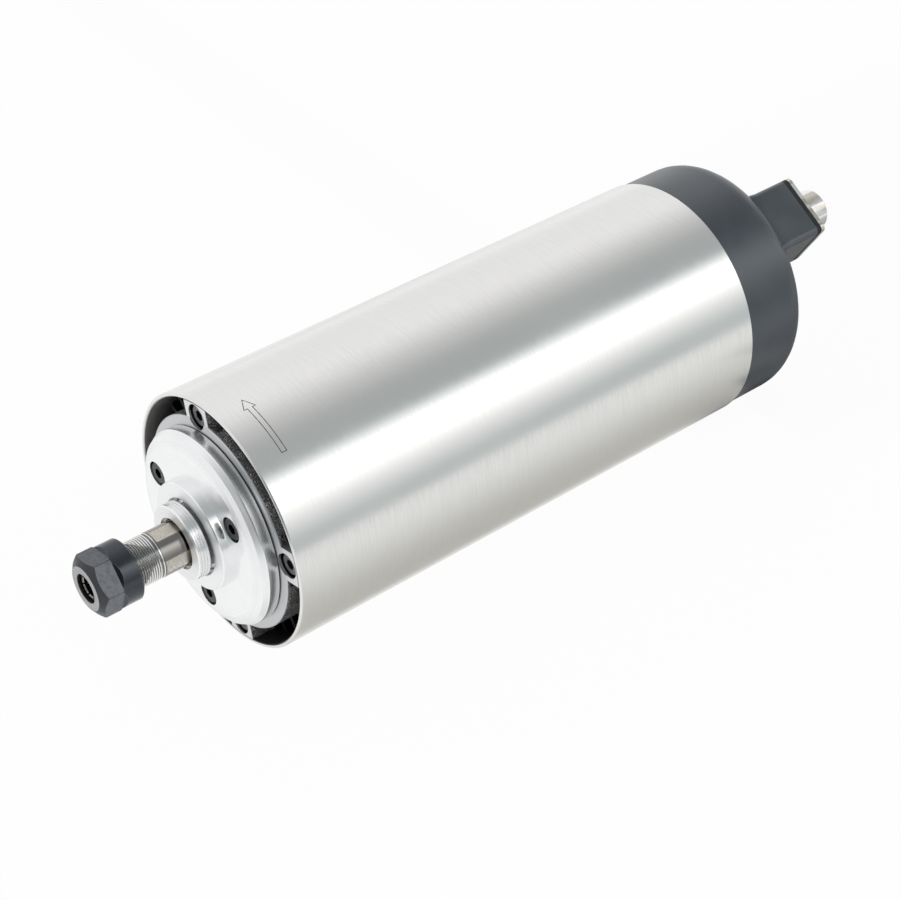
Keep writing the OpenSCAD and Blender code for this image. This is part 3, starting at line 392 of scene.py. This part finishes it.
class SPINDLE_OT_tube(bpy.types.Operator):
    """Ground stainless steel on the body tube"""

    bl_idname = "spindle.tube"
    bl_label = "Body Tube"

    def execute(self, context):
        look = context.scene.spindle_finishes
        steel = Finish("tube_steel", look.steel, 1.0, look.steel_rough)
        grain = steel.noise(0.5 * MM, 3.0, stretch=(0.5, 14.0, 14.0))
        cloud = steel.noise(26 * MM, 2.0, stretch=(2.5, 1.0, 1.0))
        steel.tint(steel.spread(grain, 0.35, 0.75, 0.0, 0.16), (0.62, 0.61, 0.60))
        steel.tint(steel.spread(cloud, 0.4, 0.7, 0.0, 0.1), (0.88, 0.875, 0.86))
        rough = steel.plus(
            steel.spread(grain, 0.3, 0.7, look.steel_rough - 0.03, look.steel_rough + 0.05),
            steel.spread(cloud, 0.35, 0.7, -0.015, 0.02),
        )

        # The bore is duller, with painted shade where little light falls into it.
        bore = TUBE_RADIUS - 0.9 * MM
        inside = steel.spread(steel.radius, bore, bore - 0.1 * MM)
        # Painted shade: darker deeper in, towards the bottom, and high up on the -Y side.
        bore_shade = steel.patch(steel.x, mm(1, 9), steel.z, (*mm(14, -18), 0.45, 1.0))
        low_shade = steel.spread(steel.z, *mm(-20, -31), 0.0, 0.92)
        high_shade = steel.patch(steel.y, (*mm(10, -12), 0.0, 0.9), steel.z, mm(0, 8))
        bore_shade = steel.most(steel.most(bore_shade, low_shade), high_shade)
        steel.tint(inside, steel.mix(bore_shade, (0.62, 0.61, 0.60), (0.03, 0.03, 0.03)))
        steel.rough(steel.plus(rough, steel.both(inside, 0.34)))
        steel.bump(grain, 4e-6)
        dress(steel, "body_tube")
        return {"FINISHED"}


class SPINDLE_OT_housings(bpy.types.Operator):
    """Blasted castings with machined faces on the two bearing housings"""

    bl_idname = "spindle.housings"
    bl_label = "Bearing Housings"

    def from_ear_screw(self, cast, look):
        """Distance from the nearest of the four ear screws' axes."""
        cosine, sine = math.cos(look.ear_angle), math.sin(look.ear_angle)
        across = cast.plus(cast.both(cast.y, cosine), cast.both(cast.z, sine))
        along = cast.minus(cast.both(cast.z, cosine), cast.both(cast.y, sine))
        across, along = cast.calc("ABSOLUTE", across), cast.calc("ABSOLUTE", along)
        reach = cast.minus(cast.most(across, along), look.ear_screw_radius)
        aside = cast.calc("MINIMUM", across, along)
        return cast.calc("SQRT", cast.plus(cast.both(reach, reach), cast.both(aside, aside)))

    def execute(self, context):
        look = context.scene.spindle_finishes
        cast = Finish("cast_aluminium", look.cast, 1.0, 0.5)
        speckle = cast.noise(0.33 * MM, 4.0)
        cloud = cast.noise(6 * MM, 3.0)
        bare = cast.patch(speckle, (0.5, 0.6), cloud, (0.4, 0.62, 0.35, 1.0))
        cast.tint(bare, (0.95, 0.95, 0.94))

        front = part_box("front_housing")[0].x
        cover_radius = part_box("front_cover")[1].y
        sunk = cast.under(self.from_ear_screw(cast, look), look.sink_radius + BESIDE)
        lip = cast.both(sunk, cast.under(cast.x, front + look.lip_depth))
        milled = cast.under(cast.x, front + look.milled_depth)
        flange = cast.both(milled, cast.under(cast.radius, cover_radius + look.flange_width))
        # Painted shade: the counterbores are painted near-black below their bright lip.
        cast.tint(sunk, (0.05, 0.05, 0.052))
        cast.tint(lip, (0.80, 0.81, 0.82))
        cast.tint(milled, (0.72, 0.73, 0.74))
        cast.tint(flange, (0.56, 0.57, 0.58))
        bright = cast.most(milled, sunk)
        cast.rough(cast.spread(bright, 0.0, 1.0, 0.5, 0.3))
        cast.metallic(cast.spread(bright, 0.0, 1.0, 0.15, 1.0))
        cast.bump(cast.both(speckle, cast.outside(milled)), 60e-6)
        cast.rounded(0.15 * MM)
        dress(cast, "front_housing", "rear_housing")
        return {"FINISHED"}


class SPINDLE_OT_turned_parts(bpy.types.Operator):
    """Bright turned aluminium on the front cover and the labyrinth ring"""

    bl_idname = "spindle.turned_parts"
    bl_label = "Cover and Ring"

    def cover(self, look):
        """Turned aluminium, smoother on its sides, with a dark line where it meets the housing."""
        cover = Finish("polished_aluminium", look.machined, 1.0, look.cover_rough)
        lines = cover.turned(0.35 * MM)
        cloud = cover.noise(7 * MM, 2.0)
        cover.tint(cover.spread(lines, 0.8, 1.3, 0.0, 0.12), (0.78, 0.79, 0.80))
        cover.tint(cover.spread(cloud, 0.45, 0.7, 0.0, 0.12), (0.74, 0.75, 0.76))

        # The sides of the boss and of the rim are smoother than the faces.
        rough = cover.spread(lines, 0.7, 1.3, look.cover_rough - 0.03, look.cover_rough + 0.08)
        low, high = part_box("front_cover")
        boss_side = cover.both(
            cover.under(cover.x, low.x + look.boss_height), cover.over(cover.radius, look.boss_side)
        )
        rim_side = cover.over(cover.radius, high.y - 0.1 * MM)
        smoother = cover.plus(cover.both(boss_side, 0.12), cover.both(rim_side, 0.05))
        cover.rough(cover.minus(rough, smoother))
        cover.bump(lines, 5e-6)
        cover.rounded(0.15 * MM)

        # A dark joint line, where the rim meets the housing.
        joint = cover.both(
            cover.over(cover.x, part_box("front_housing")[0].x - 0.2 * MM),
            cover.over(cover.radius, high.y - 0.6 * MM),
        )
        cover.tint(joint, (0.07, 0.07, 0.07))
        return cover

    def ring(self, look):
        """Turned aluminium with coarser lines, duller on its front face."""
        ring = Finish("turned_aluminium", look.machined, 1.0, 0.2)
        lines = ring.turned(0.25 * MM)
        ring.tint(ring.spread(lines, 0.8, 1.3, 0.0, 0.35), (0.66, 0.66, 0.66))
        face = ring.under(ring.x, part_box("labyrinth_ring")[0].x + BESIDE)
        ring.rough(ring.plus(ring.spread(lines, 0.7, 1.3, 0.16, 0.28), ring.both(face, 0.22)))
        ring.bump(lines, 8e-6)
        ring.rounded(0.1 * MM)
        # Painted shade: the sink in the ring is painted a darker, browner grey.
        ring.tint(ring.under(ring.radius, look.ring_hole + BESIDE), (0.62, 0.59, 0.54))
        return ring

    def execute(self, context):
        look = context.scene.spindle_finishes
        dress(self.cover(look), "front_cover")
        dress(self.ring(look), "labyrinth_ring", "rotor_cage")
        return {"FINISHED"}


class SPINDLE_OT_shaft(bpy.types.Operator):
    """Ground steel on the shaft, the collet and the bearings"""

    bl_idname = "spindle.shaft"
    bl_label = "Shaft and Bearings"

    def shaft(self, look):
        """Ground steel, with a bright thread and a dark land behind it."""
        shaft = Finish("shaft_steel", look.shaft, 1.0, 0.3)
        lines = shaft.turned(0.22 * MM)
        grain = shaft.noise(0.3 * MM, 3.0)
        shaft.tint(shaft.spread(grain, 0.44, 0.56, 0.0, 0.9), (0.42, 0.395, 0.35))
        # Painted shade and light: the upper side is painted darker and warmer, the lower side
        # paler.
        shaft.tint(shaft.spread(shaft.z, *mm(-2, 4), 0.0, 0.4), (0.50, 0.45, 0.38))
        shaft.tint(shaft.spread(shaft.z, *mm(0, -4), 0.0, 0.4), (0.84, 0.83, 0.81))

        # The thread is bright on its crests, and the plain land behind it is painted dark, as a
        # painted reflection.
        thread_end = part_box("shaft")[0].x + look.thread_length
        thread = shaft.under(shaft.x, thread_end)
        land = shaft.both(
            shaft.over(shaft.radius, look.thread_radius - 0.07 * MM), shaft.outside(thread)
        )
        # Painted reflection: the plain land is painted dark.
        shaft.tint(land, (0.27, 0.255, 0.24))
        shaft.tint(thread, (0.86, 0.86, 0.85))
        # Painted shade: the thread's grooves are painted darker towards their roots.
        groove = shaft.spread(
            shaft.radius, look.thread_radius - 0.08 * MM, look.thread_radius - look.groove_depth
        )
        shaft.tint(shaft.both(thread, groove), (0.33, 0.33, 0.32))
        # Painted shade: dark stripes at the thread's pitch over its run-out.
        run_out = shaft.both(thread, shaft.over(shaft.x, thread_end - look.run_out))
        wave = shaft.calc("SINE", shaft.both(shaft.x, 2 * math.pi / look.thread_pitch))
        shaft.tint(shaft.both(run_out, shaft.spread(wave, -0.5, 0.5)), (0.10, 0.10, 0.10))

        smooth = shaft.most(land, thread)
        shaft.rough(
            shaft.minus(shaft.spread(lines, 0.7, 1.3, 0.36, 0.44), shaft.both(smooth, 0.29))
        )
        shaft.bump(shaft.plus(lines, shaft.both(grain, shaft.minus(1.3, smooth))), 6e-6)
        shaft.rounded(0.12 * MM)
        return shaft

    def execute(self, context):
        bearing = Finish("bearing_steel", (0.66, 0.66, 0.65), 1.0, 0.12)
        bearing.bump(bearing.turned(0.3 * MM), 3e-6)
        collet = Finish("collet_steel", (0.26, 0.25, 0.235), 1.0, 0.2)
        collet.bump(collet.turned(0.3 * MM), 5e-6)
        collet.rounded(0.1 * MM)
        cage = Finish("cage_resin", (0.36, 0.17, 0.06), 0.0, 0.5)
        weave = cage.noise(0.4 * MM, 3.0, stretch=(1.0, 3.0, 3.0))
        cage.tint(cage.spread(weave, 0.4, 0.7, 0.0, 0.5), (0.24, 0.10, 0.035))
        cage.bump(weave, 30e-6)
        dress(self.shaft(context.scene.spindle_finishes), "shaft", "connector_screws")
        dress(collet, "collet")
        for row in ("front_bearing_a", "front_bearing_b", "rear_bearing"):
            dress(bearing, f"{row}_outer", f"{row}_inner", f"{row}_balls")
            dress(cage, f"{row}_cage")
        dress(bearing, "outer_spacer", "inner_spacer", "wave_spring")
        return {"FINISHED"}


class SPINDLE_OT_black_steel(bpy.types.Operator):
    """Blackened steel on the collet nut, the screws and the retaining ring"""

    bl_idname = "spindle.black_steel"
    bl_label = "Nut and Screws"

    def nut(self, look):
        """Blackened steel, mottled, and rubbed along its edges."""
        nut = Finish("black_oxide_nut", look.nut, 1.0, 0.4)
        mottle = nut.noise(1.4 * MM, 4.0)
        fine = nut.noise(0.25 * MM, 2.0)
        nut.tint(nut.spread(mottle, 0.4, 0.75, 0.0, 0.35), (0.09, 0.095, 0.105))
        nut.tint(nut.both(nut.spread(fine, 0.5, 0.75), 0.25), (0.22, 0.23, 0.24))

        # Collar, front face, the cone that breaks the corners, and the mouth.
        low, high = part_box("collet_nut")
        collar = nut.over(nut.x, high.x - look.collar_length + BESIDE)
        nut.tint(collar, (0.068, 0.074, 0.085))
        # Painted light: the front face is painted paler.
        nut.tint(nut.under(nut.x, low.x + BESIDE), (0.41, 0.415, 0.42))
        # Painted shade: the cone is painted darker.
        cone_edge = nut.calc(
            "MULTIPLY_ADD", nut.minus(nut.x, low.x), look.cone_slope,
            look.nut_face_radius - 0.07 * MM,
        )
        cone = nut.both(nut.over(nut.radius, cone_edge), nut.outside(collar))
        nut.tint(cone, (0.066, 0.07, 0.077))
        # Painted shade: the mouth is painted near-black.
        mouth = nut.both(nut.under(nut.radius, look.mouth_radius), nut.over(nut.x, low.x + BESIDE))
        nut.tint(mouth, (0.03, 0.03, 0.032))

        nut.worn(0.22 * MM, (0.34, 0.35, 0.36), 0.55)
        nut.rough(nut.minus(nut.spread(mottle, 0.35, 0.7, 0.38, 0.48), nut.both(collar, 0.2)))
        nut.bump(nut.plus(fine, nut.turned(0.3 * MM)), 6e-6)
        nut.rounded(0.12 * MM)
        return nut

    def screws(self, name, colour, roughness, mottling, rubbed):
        """Blackened screws, mottled, and rubbed along their edges."""
        screws = Finish(name, colour, 1.0, roughness)
        mottle = screws.noise(0.8 * MM, 3.0)
        screws.tint(screws.spread(mottle, 0.4, 0.7, 0.0, 0.4), mottling)
        screws.worn(0.12 * MM, rubbed, 0.6)
        screws.bump(mottle, 8e-6)
        screws.rounded(0.1 * MM)
        return screws

    def execute(self, context):
        look = context.scene.spindle_finishes
        dress(self.nut(look), "collet_nut")
        dress(
            self.screws(
                "black_oxide_screws", look.black_steel, 0.32,
                mottling=(0.025, 0.026, 0.028), rubbed=(0.32, 0.32, 0.33),
            ),
            "cover_screws", "rear_housing_screws", "cap_screws", "fan_retaining_ring",
        )
        dress(
            self.screws(
                "black_oxide_ear_screws", look.ear_screws, 0.36,
                mottling=(0.09, 0.09, 0.092), rubbed=(0.42, 0.42, 0.42),
            ),
            "ear_screws",
        )
        return {"FINISHED"}


class SPINDLE_OT_motor(bpy.types.Operator):
    """Laminations, enamelled copper and black fins inside the tube"""

    bl_idname = "spindle.motor"
    bl_label = "Motor"

    def execute(self, context):
        jacket = Finish("black_aluminium", (0.02, 0.021, 0.022), 0.6, 0.45)
        skin = jacket.noise(0.8 * MM, 3.0, stretch=(8.0, 1.0, 1.0))
        jacket.tint(jacket.spread(skin, 0.4, 0.7, 0.0, 0.5), (0.035, 0.035, 0.036))
        jacket.bump(skin, 20e-6)
        core = Finish("lamination_steel", (0.30, 0.29, 0.28), 1.0, 0.4)
        sheets = core.lines(core.x, 0.5 * MM, 1.0)
        core.tint(core.spread(sheets, 0.4, 0.6, 0.0, 0.6), (0.10, 0.10, 0.10))
        core.bump(sheets, 40e-6)
        copper = Finish("winding_copper", context.scene.spindle_finishes.copper, 0.9, 0.3)
        wires = copper.noise(0.9 * MM, 2.0, stretch=(6.0, 1.0, 1.0))
        copper.tint(copper.spread(wires, 0.4, 0.65, 0.0, 0.7), (0.28, 0.08, 0.03))
        copper.bump(wires, 200e-6)
        leads = Finish("lead_insulation", (0.55, 0.04, 0.03), 0.0, 0.4)
        leads.bump(leads.noise(0.4 * MM, 2.0), 10e-6)
        dress(jacket, "motor_jacket")
        dress(core, "stator_core", "rotor_core")
        dress(copper, "stator_winding")
        dress(leads, "leads")
        return {"FINISHED"}


class SPINDLE_OT_mouldings(bpy.types.Operator):
    """Moulded plastic and rubber on the cap, the fan and the connector's insert"""

    bl_idname = "spindle.mouldings"
    bl_label = "Cap, Fan and Seals"

    def cap(self, look):
        """Dark plastic, a little paler at the connector's box."""
        cap = Finish("cap_plastic", look.cap, 0.0, 0.3)
        cap.shader.inputs["Specular IOR Level"].default_value = 1.0
        cap.shader.inputs["Specular Tint"].default_value = (0.90, 0.96, 1.0, 1.0)
        cloud = cap.noise(18 * MM, 2.0)
        cap.tint(cap.spread(cloud, 0.38, 0.66, 0.0, 0.6), (0.034, 0.042, 0.054))
        cap.rough(cap.spread(cloud, 0.3, 0.7, 0.29, 0.36))
        cap.bump(cap.noise(0.3 * MM, 3.0), 12e-6)
        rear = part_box("rear_cap")[1].x
        connector_box = cap.patch(
            cap.x, (rear - 16 * MM, rear - 11 * MM), cloud, (0.3, 0.6, 0.5, 1.0)
        )
        cap.tint(connector_box, (0.05, 0.056, 0.065))
        cap.rounded(0.25 * MM)
        return cap

    def execute(self, context):
        look = context.scene.spindle_finishes
        fan = Finish("fan_plastic", (0.022, 0.024, 0.026), 0.0, 0.45)
        fan.bump(fan.noise(0.4 * MM, 3.0), 15e-6)
        rubber = Finish("black_rubber", look.rubber, 0.0, 0.6)
        rubber.bump(rubber.noise(0.3 * MM, 3.0), 20e-6)
        rubber.rounded(0.2 * MM)
        insert = Finish("insert_plastic", (0.02, 0.021, 0.022), 0.0, 0.35)
        insert.bump(insert.noise(0.3 * MM, 2.0), 8e-6)
        dress(self.cap(look), "rear_cap")
        dress(fan, "cooling_fan")
        dress(rubber, "connector_gasket", "lead_grommet")
        dress(insert, "connector_insert")
        return {"FINISHED"}


class SPINDLE_OT_connector(bpy.types.Operator):
    """Nickel on the connector's shell and gold on its pins"""

    bl_idname = "spindle.connector"
    bl_label = "Connector"

    def execute(self, context):
        nickel = Finish("shell_nickel", context.scene.spindle_finishes.nickel, 0.85, 0.14)
        mottle = nickel.noise(1.2 * MM, 3.0)
        # Painted reflection: brownish streaks along the shell.
        reflection_streak = nickel.noise(2.6 * MM, 1.0, stretch=(9.0, 1.0, 1.0))
        nickel.tint(nickel.spread(reflection_streak, 0.46, 0.6, 0.0, 0.75), (0.46, 0.41, 0.34))
        nickel.rough(nickel.spread(mottle, 0.35, 0.7, 0.1, 0.2))
        nickel.bump(nickel.lines(nickel.x, 0.25 * MM), 5e-6)
        nickel.rounded(0.12 * MM)
        gold = Finish("pin_gold", (0.83, 0.60, 0.24), 1.0, 0.2)
        gold.bump(gold.lines(gold.x, 0.2 * MM), 4e-6)
        dress(nickel, "connector_shell")
        dress(gold, "connector_pins")
        return {"FINISHED"}


class SPINDLE_OT_arrow(bpy.types.Operator):
    """The outlined arrow on the tube that shows which way the shaft turns"""

    bl_idname = "spindle.arrow"
    bl_label = "Turning Arrow"

    # Cuts along the arrow, so that it follows the tube's roundness.
    CUTS = 40

    def rank(self, face):
        """A number of a face's own, from the numbers of its corners."""
        number = 0
        for corner in sorted(vert.index for vert in face.verts)[:4]:
            number = number * 1000 + corner
        return number

    def execute(self, context):
        size = context.scene.spindle_mark
        outline = [
            (0.0, size.tip),
            (size.head_half, size.head),
            (size.shaft_half, size.head),
            (size.shaft_half, size.tail),
            (-size.shaft_half, size.tail),
            (-size.shaft_half, size.head),
            (-size.head_half, size.head),
        ]
        mesh = bmesh.new()
        face = mesh.faces.new([mesh.verts.new((size.centre + x, arc, 0.0)) for x, arc in outline])
        bmesh.ops.recalc_face_normals(mesh, faces=[face])
        if face.normal.z < 0:
            face.normal_flip()
        bmesh.ops.inset_region(
            mesh, faces=[face], thickness=size.line, use_even_offset=True, use_boundary=True
        )
        bmesh.ops.delete(mesh, geom=[face], context="FACES")
        for cut in range(1, self.CUTS):
            arc = size.tip + (size.tail - size.tip) * cut / self.CUTS
            bmesh.ops.bisect_plane(
                mesh, geom=[*mesh.verts, *mesh.edges, *mesh.faces], dist=1e-7,
                plane_co=(0.0, arc, 0.0), plane_no=(0.0, 1.0, 0.0),
            )
        lid = bmesh.ops.extrude_face_region(mesh, geom=mesh.faces[:])["geom"]
        lid = [part for part in lid if isinstance(part, bmesh.types.BMVert)]
        bmesh.ops.translate(mesh, verts=lid, vec=(0.0, 0.0, size.depth))

        # Rolls the flat arrow round the tube, with a little more than half of it in the steel.
        for vert in mesh.verts:
            turn = vert.co.y / TUBE_RADIUS
            reach = TUBE_RADIUS - size.depth * 0.6 + vert.co.z
            vert.co = Vector((vert.co.x, -reach * math.sin(turn), reach * math.cos(turn)))
        bmesh.ops.recalc_face_normals(mesh, faces=mesh.faces[:])

        # The operators above leave the faces in an order that changes from run to run.
        mesh.verts.index_update()
        mesh.faces.sort(key=self.rank)

        ink = Finish("laser_mark", size.colour, 0.4, 0.55)
        burn = ink.noise(0.3 * MM, 3.0)
        ink.tint(ink.spread(burn, 0.4, 0.7, 0.0, 0.5), (0.16, 0.15, 0.14))
        arrow = make_object(context, "turning_arrow", mesh, ink)
        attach(arrow, "housing")
        return {"FINISHED"}


class SPINDLE_OT_studio(bpy.types.Operator):
    """A white floor, soft studio light and the camera"""

    bl_idname = "spindle.studio"
    bl_label = "Studio"

    # Light round the spindle's axis: degrees from overhead towards -Y, brightness, and coolness.
    STRIPS = (
        (-180, 1.02, 0.0), (-96, 1.02, 0.0), (-80, 0.95, 0.01), (-38, 1.0, 0.0), (-27, 0.90, 0.0),
        (-17, 0.74, 0.0), (-7, 0.62, 0.02), (4, 0.50, 0.05), (28, 0.46, 0.09), (36, 1.25, 0.04),
        (42, 1.75, 0.0), (52, 1.7, 0.0), (65, 1.12, 0.0), (74, 0.88, 0.02), (86, 0.62, 0.09),
        (100, 0.60, 0.09), (180, 0.66, 0.0),
    )

    # A dim patch in that light, ahead of the nose: its middle, as a direction, and how close a
    # direction comes to it at the patch's edge and where the patch is full.
    DIM_SPOT = (-0.76, -0.55, 0.35)
    DIM_EDGES = (0.88, 0.96)

    # The camera's place in metres, and the directions of its right, its top and its back.
    CAMERA_PLACE = (-0.23404, -0.39052, 0.38888)
    CAMERA_TURN = (
        (0.774329, -0.632783, 0.0),
        (0.396632, 0.485354, 0.779176),
        (-0.493049, -0.603339, 0.626806),
    )

    def light(self, context, studio):
        """Light from all sides, which changes round the spindle and not along it."""
        world = bpy.data.worlds.new("studio_light")
        world.use_nodes = True
        context.scene.world = world
        sky = Nodes(world.node_tree)
        towards = sky.add("ShaderNodeTexCoord").outputs["Generated"]
        _, side, height = sky.split(towards)
        angle = sky.calc("ARCTAN2", sky.both(side, -1.0), height)
        ramp = sky.add("ShaderNodeValToRGB")
        sky.join(sky.spread(angle, -math.pi, math.pi, curve="LINEAR"), ramp.inputs[0])
        peak = max(value for _, value, _ in self.STRIPS)
        stops = ramp.color_ramp.elements
        while len(stops) < len(self.STRIPS):
            stops.new(1.0)
        for stop, (degrees, value, cool) in zip(stops, self.STRIPS):
            level = value / peak
            stop.position = (degrees + 180.0) / 360.0
            stop.color = (level * (1.0 - cool), level * (1.0 - 0.2 * cool), level, 1.0)
        dim = sky.spread(sky.dot(towards, self.DIM_SPOT), *self.DIM_EDGES, 0.0, 0.95)
        glow = sky.tree.nodes["Background"]
        sky.join(sky.mix(dim, ramp.outputs["Color"], (0.05, 0.052, 0.055)), glow.inputs["Color"])
        glow.inputs["Strength"].default_value = peak * studio.level
        white = sky.add("ShaderNodeBackground")
        white.inputs["Color"].default_value = (1.0, 1.0, 1.0, 1.0)
        seen = sky.add("ShaderNodeLightPath").outputs["Is Camera Ray"]
        sky.blend_shaders(seen, glow, white, "World Output")

    def paper(self):
        """White paper, with painted shade near the spindle that shows in its bright metal."""
        paper = Finish("studio_paper", (0.96, 0.95, 0.925), 0.0, 0.9)
        paper.bump(paper.noise(2 * MM, 3.0), 10e-6)
        x, y = paper.x, paper.y
        away = paper.calc("ABSOLUTE", y)
        below = paper.patch(x, mm(-22, 10), away, mm(85, 35))
        far = paper.patch(x, mm(218, 232), away, mm(130, 70))
        near = paper.patch(x, mm(193, 199), away, mm(58, 46))
        close = paper.patch(y, mm(-35, -27), x, mm(216, 206))
        rear_shade = paper.both(
            paper.patch(x, mm(160, 180), x, mm(205, 190)), paper.spread(y, *mm(-30, -24))
        )
        # Painted shade: warm under the spindle, darker under the tube's rear and behind, darkest
        # under the cap.
        paper.tint(below, (0.93, 0.905, 0.855))
        paper.tint(rear_shade, (0.60, 0.60, 0.59))
        paper.tint(far, (0.50, 0.50, 0.50))
        paper.tint(near, paper.mix(close, (0.46, 0.46, 0.46), (0.12, 0.12, 0.12)))

        # Where the paper glows white in a mirror image: well to the sides, in a band under the
        # tube, and ahead of the nose, but not behind the spindle.
        sides = paper.spread(away, *mm(45, 160), 0.0, 0.7)
        band = paper.patch(y, (*mm(-33, -22), 0.0, 0.8), x, mm(190, 155))
        glowing = paper.both(paper.most(sides, band), paper.outside(paper.most(far, near)))
        glowing = paper.most(glowing, paper.spread(x, *mm(5, -20)))
        ray = paper.add("ShaderNodeLightPath").outputs
        mirrored = paper.most(ray["Is Glossy Ray"], ray["Is Transmission Ray"])
        share = paper.most(paper.both(ray["Is Camera Ray"], 0.96), paper.both(mirrored, glowing))
        glow = paper.add("ShaderNodeEmission")
        glow.inputs["Strength"].default_value = 1.0
        paper.blend_shaders(share, paper.shader, glow, "Material Output")
        return paper

    def floor(self, context, studio):
        """A round sheet of paper under the spindle."""
        mesh = bmesh.new()
        bmesh.ops.create_circle(mesh, cap_ends=True, segments=96, radius=studio.floor_radius)
        middle = (CAD_BOX[0] + CAD_BOX[1]) / 2
        bmesh.ops.translate(mesh, verts=mesh.verts[:], vec=(middle.x, middle.y, studio.floor))
        make_object(context, "studio_floor", mesh, self.paper())

    def camera(self, context, studio):
        """The camera, at the photograph's viewing angle."""
        data = bpy.data.cameras.new("camera")
        data.lens = studio.lens
        data.sensor_width = 36.0
        data.clip_start = 0.01
        camera = bpy.data.objects.new("camera", data)
        context.scene.collection.objects.link(camera)
        turn = Matrix(self.CAMERA_TURN).transposed().to_4x4()
        camera.matrix_world = Matrix.Translation(self.CAMERA_PLACE) @ turn
        context.scene.camera = camera

    def execute(self, context):
        studio = context.scene.spindle_studio
        context.scene.view_settings.view_transform = "Standard"
        self.light(context, studio)
        self.floor(context, studio)
        self.camera(context, studio)
        return {"FINISHED"}


class SPINDLE_PT_dress(bpy.types.Panel):
    """Lists the steps that dress the spindle."""

    bl_idname = "SPINDLE_PT_dress"
    bl_label = "Motor Spindle"
    bl_space_type = "VIEW_3D"
    bl_region_type = "UI"
    bl_category = "Spindle"

    def draw(self, context):
        for step in STEPS:
            self.layout.operator(step.bl_idname)


SETTINGS = {
    "spindle_finishes": SpindleFinishes,
    "spindle_mark": SpindleMark,
    "spindle_studio": SpindleStudio,
}
STEPS = (
    SPINDLE_OT_studio,
    SPINDLE_OT_tube,
    SPINDLE_OT_housings,
    SPINDLE_OT_turned_parts,
    SPINDLE_OT_shaft,
    SPINDLE_OT_black_steel,
    SPINDLE_OT_motor,
    SPINDLE_OT_mouldings,
    SPINDLE_OT_connector,
    SPINDLE_OT_arrow,
)


def register():
    """Adds the settings, the operators and the panel."""
    for name, group in SETTINGS.items():
        bpy.utils.register_class(group)
        setattr(bpy.types.Scene, name, PointerProperty(type=group))
    for step in (*STEPS, SPINDLE_PT_dress):
        bpy.utils.register_class(step)


def unregister():
    """Takes them away again."""
    for step in reversed((*STEPS, SPINDLE_PT_dress)):
        bpy.utils.unregister_class(step)
    for name, group in reversed(SETTINGS.items()):
        delattr(bpy.types.Scene, name)
        bpy.utils.unregister_class(group)


def main():
    """Dresses the spindle."""
    register()
    for step in STEPS:
        group, action = step.bl_idname.split(".")
        getattr(getattr(bpy.ops, group), action)()


if __name__ == "__main__":
    main()
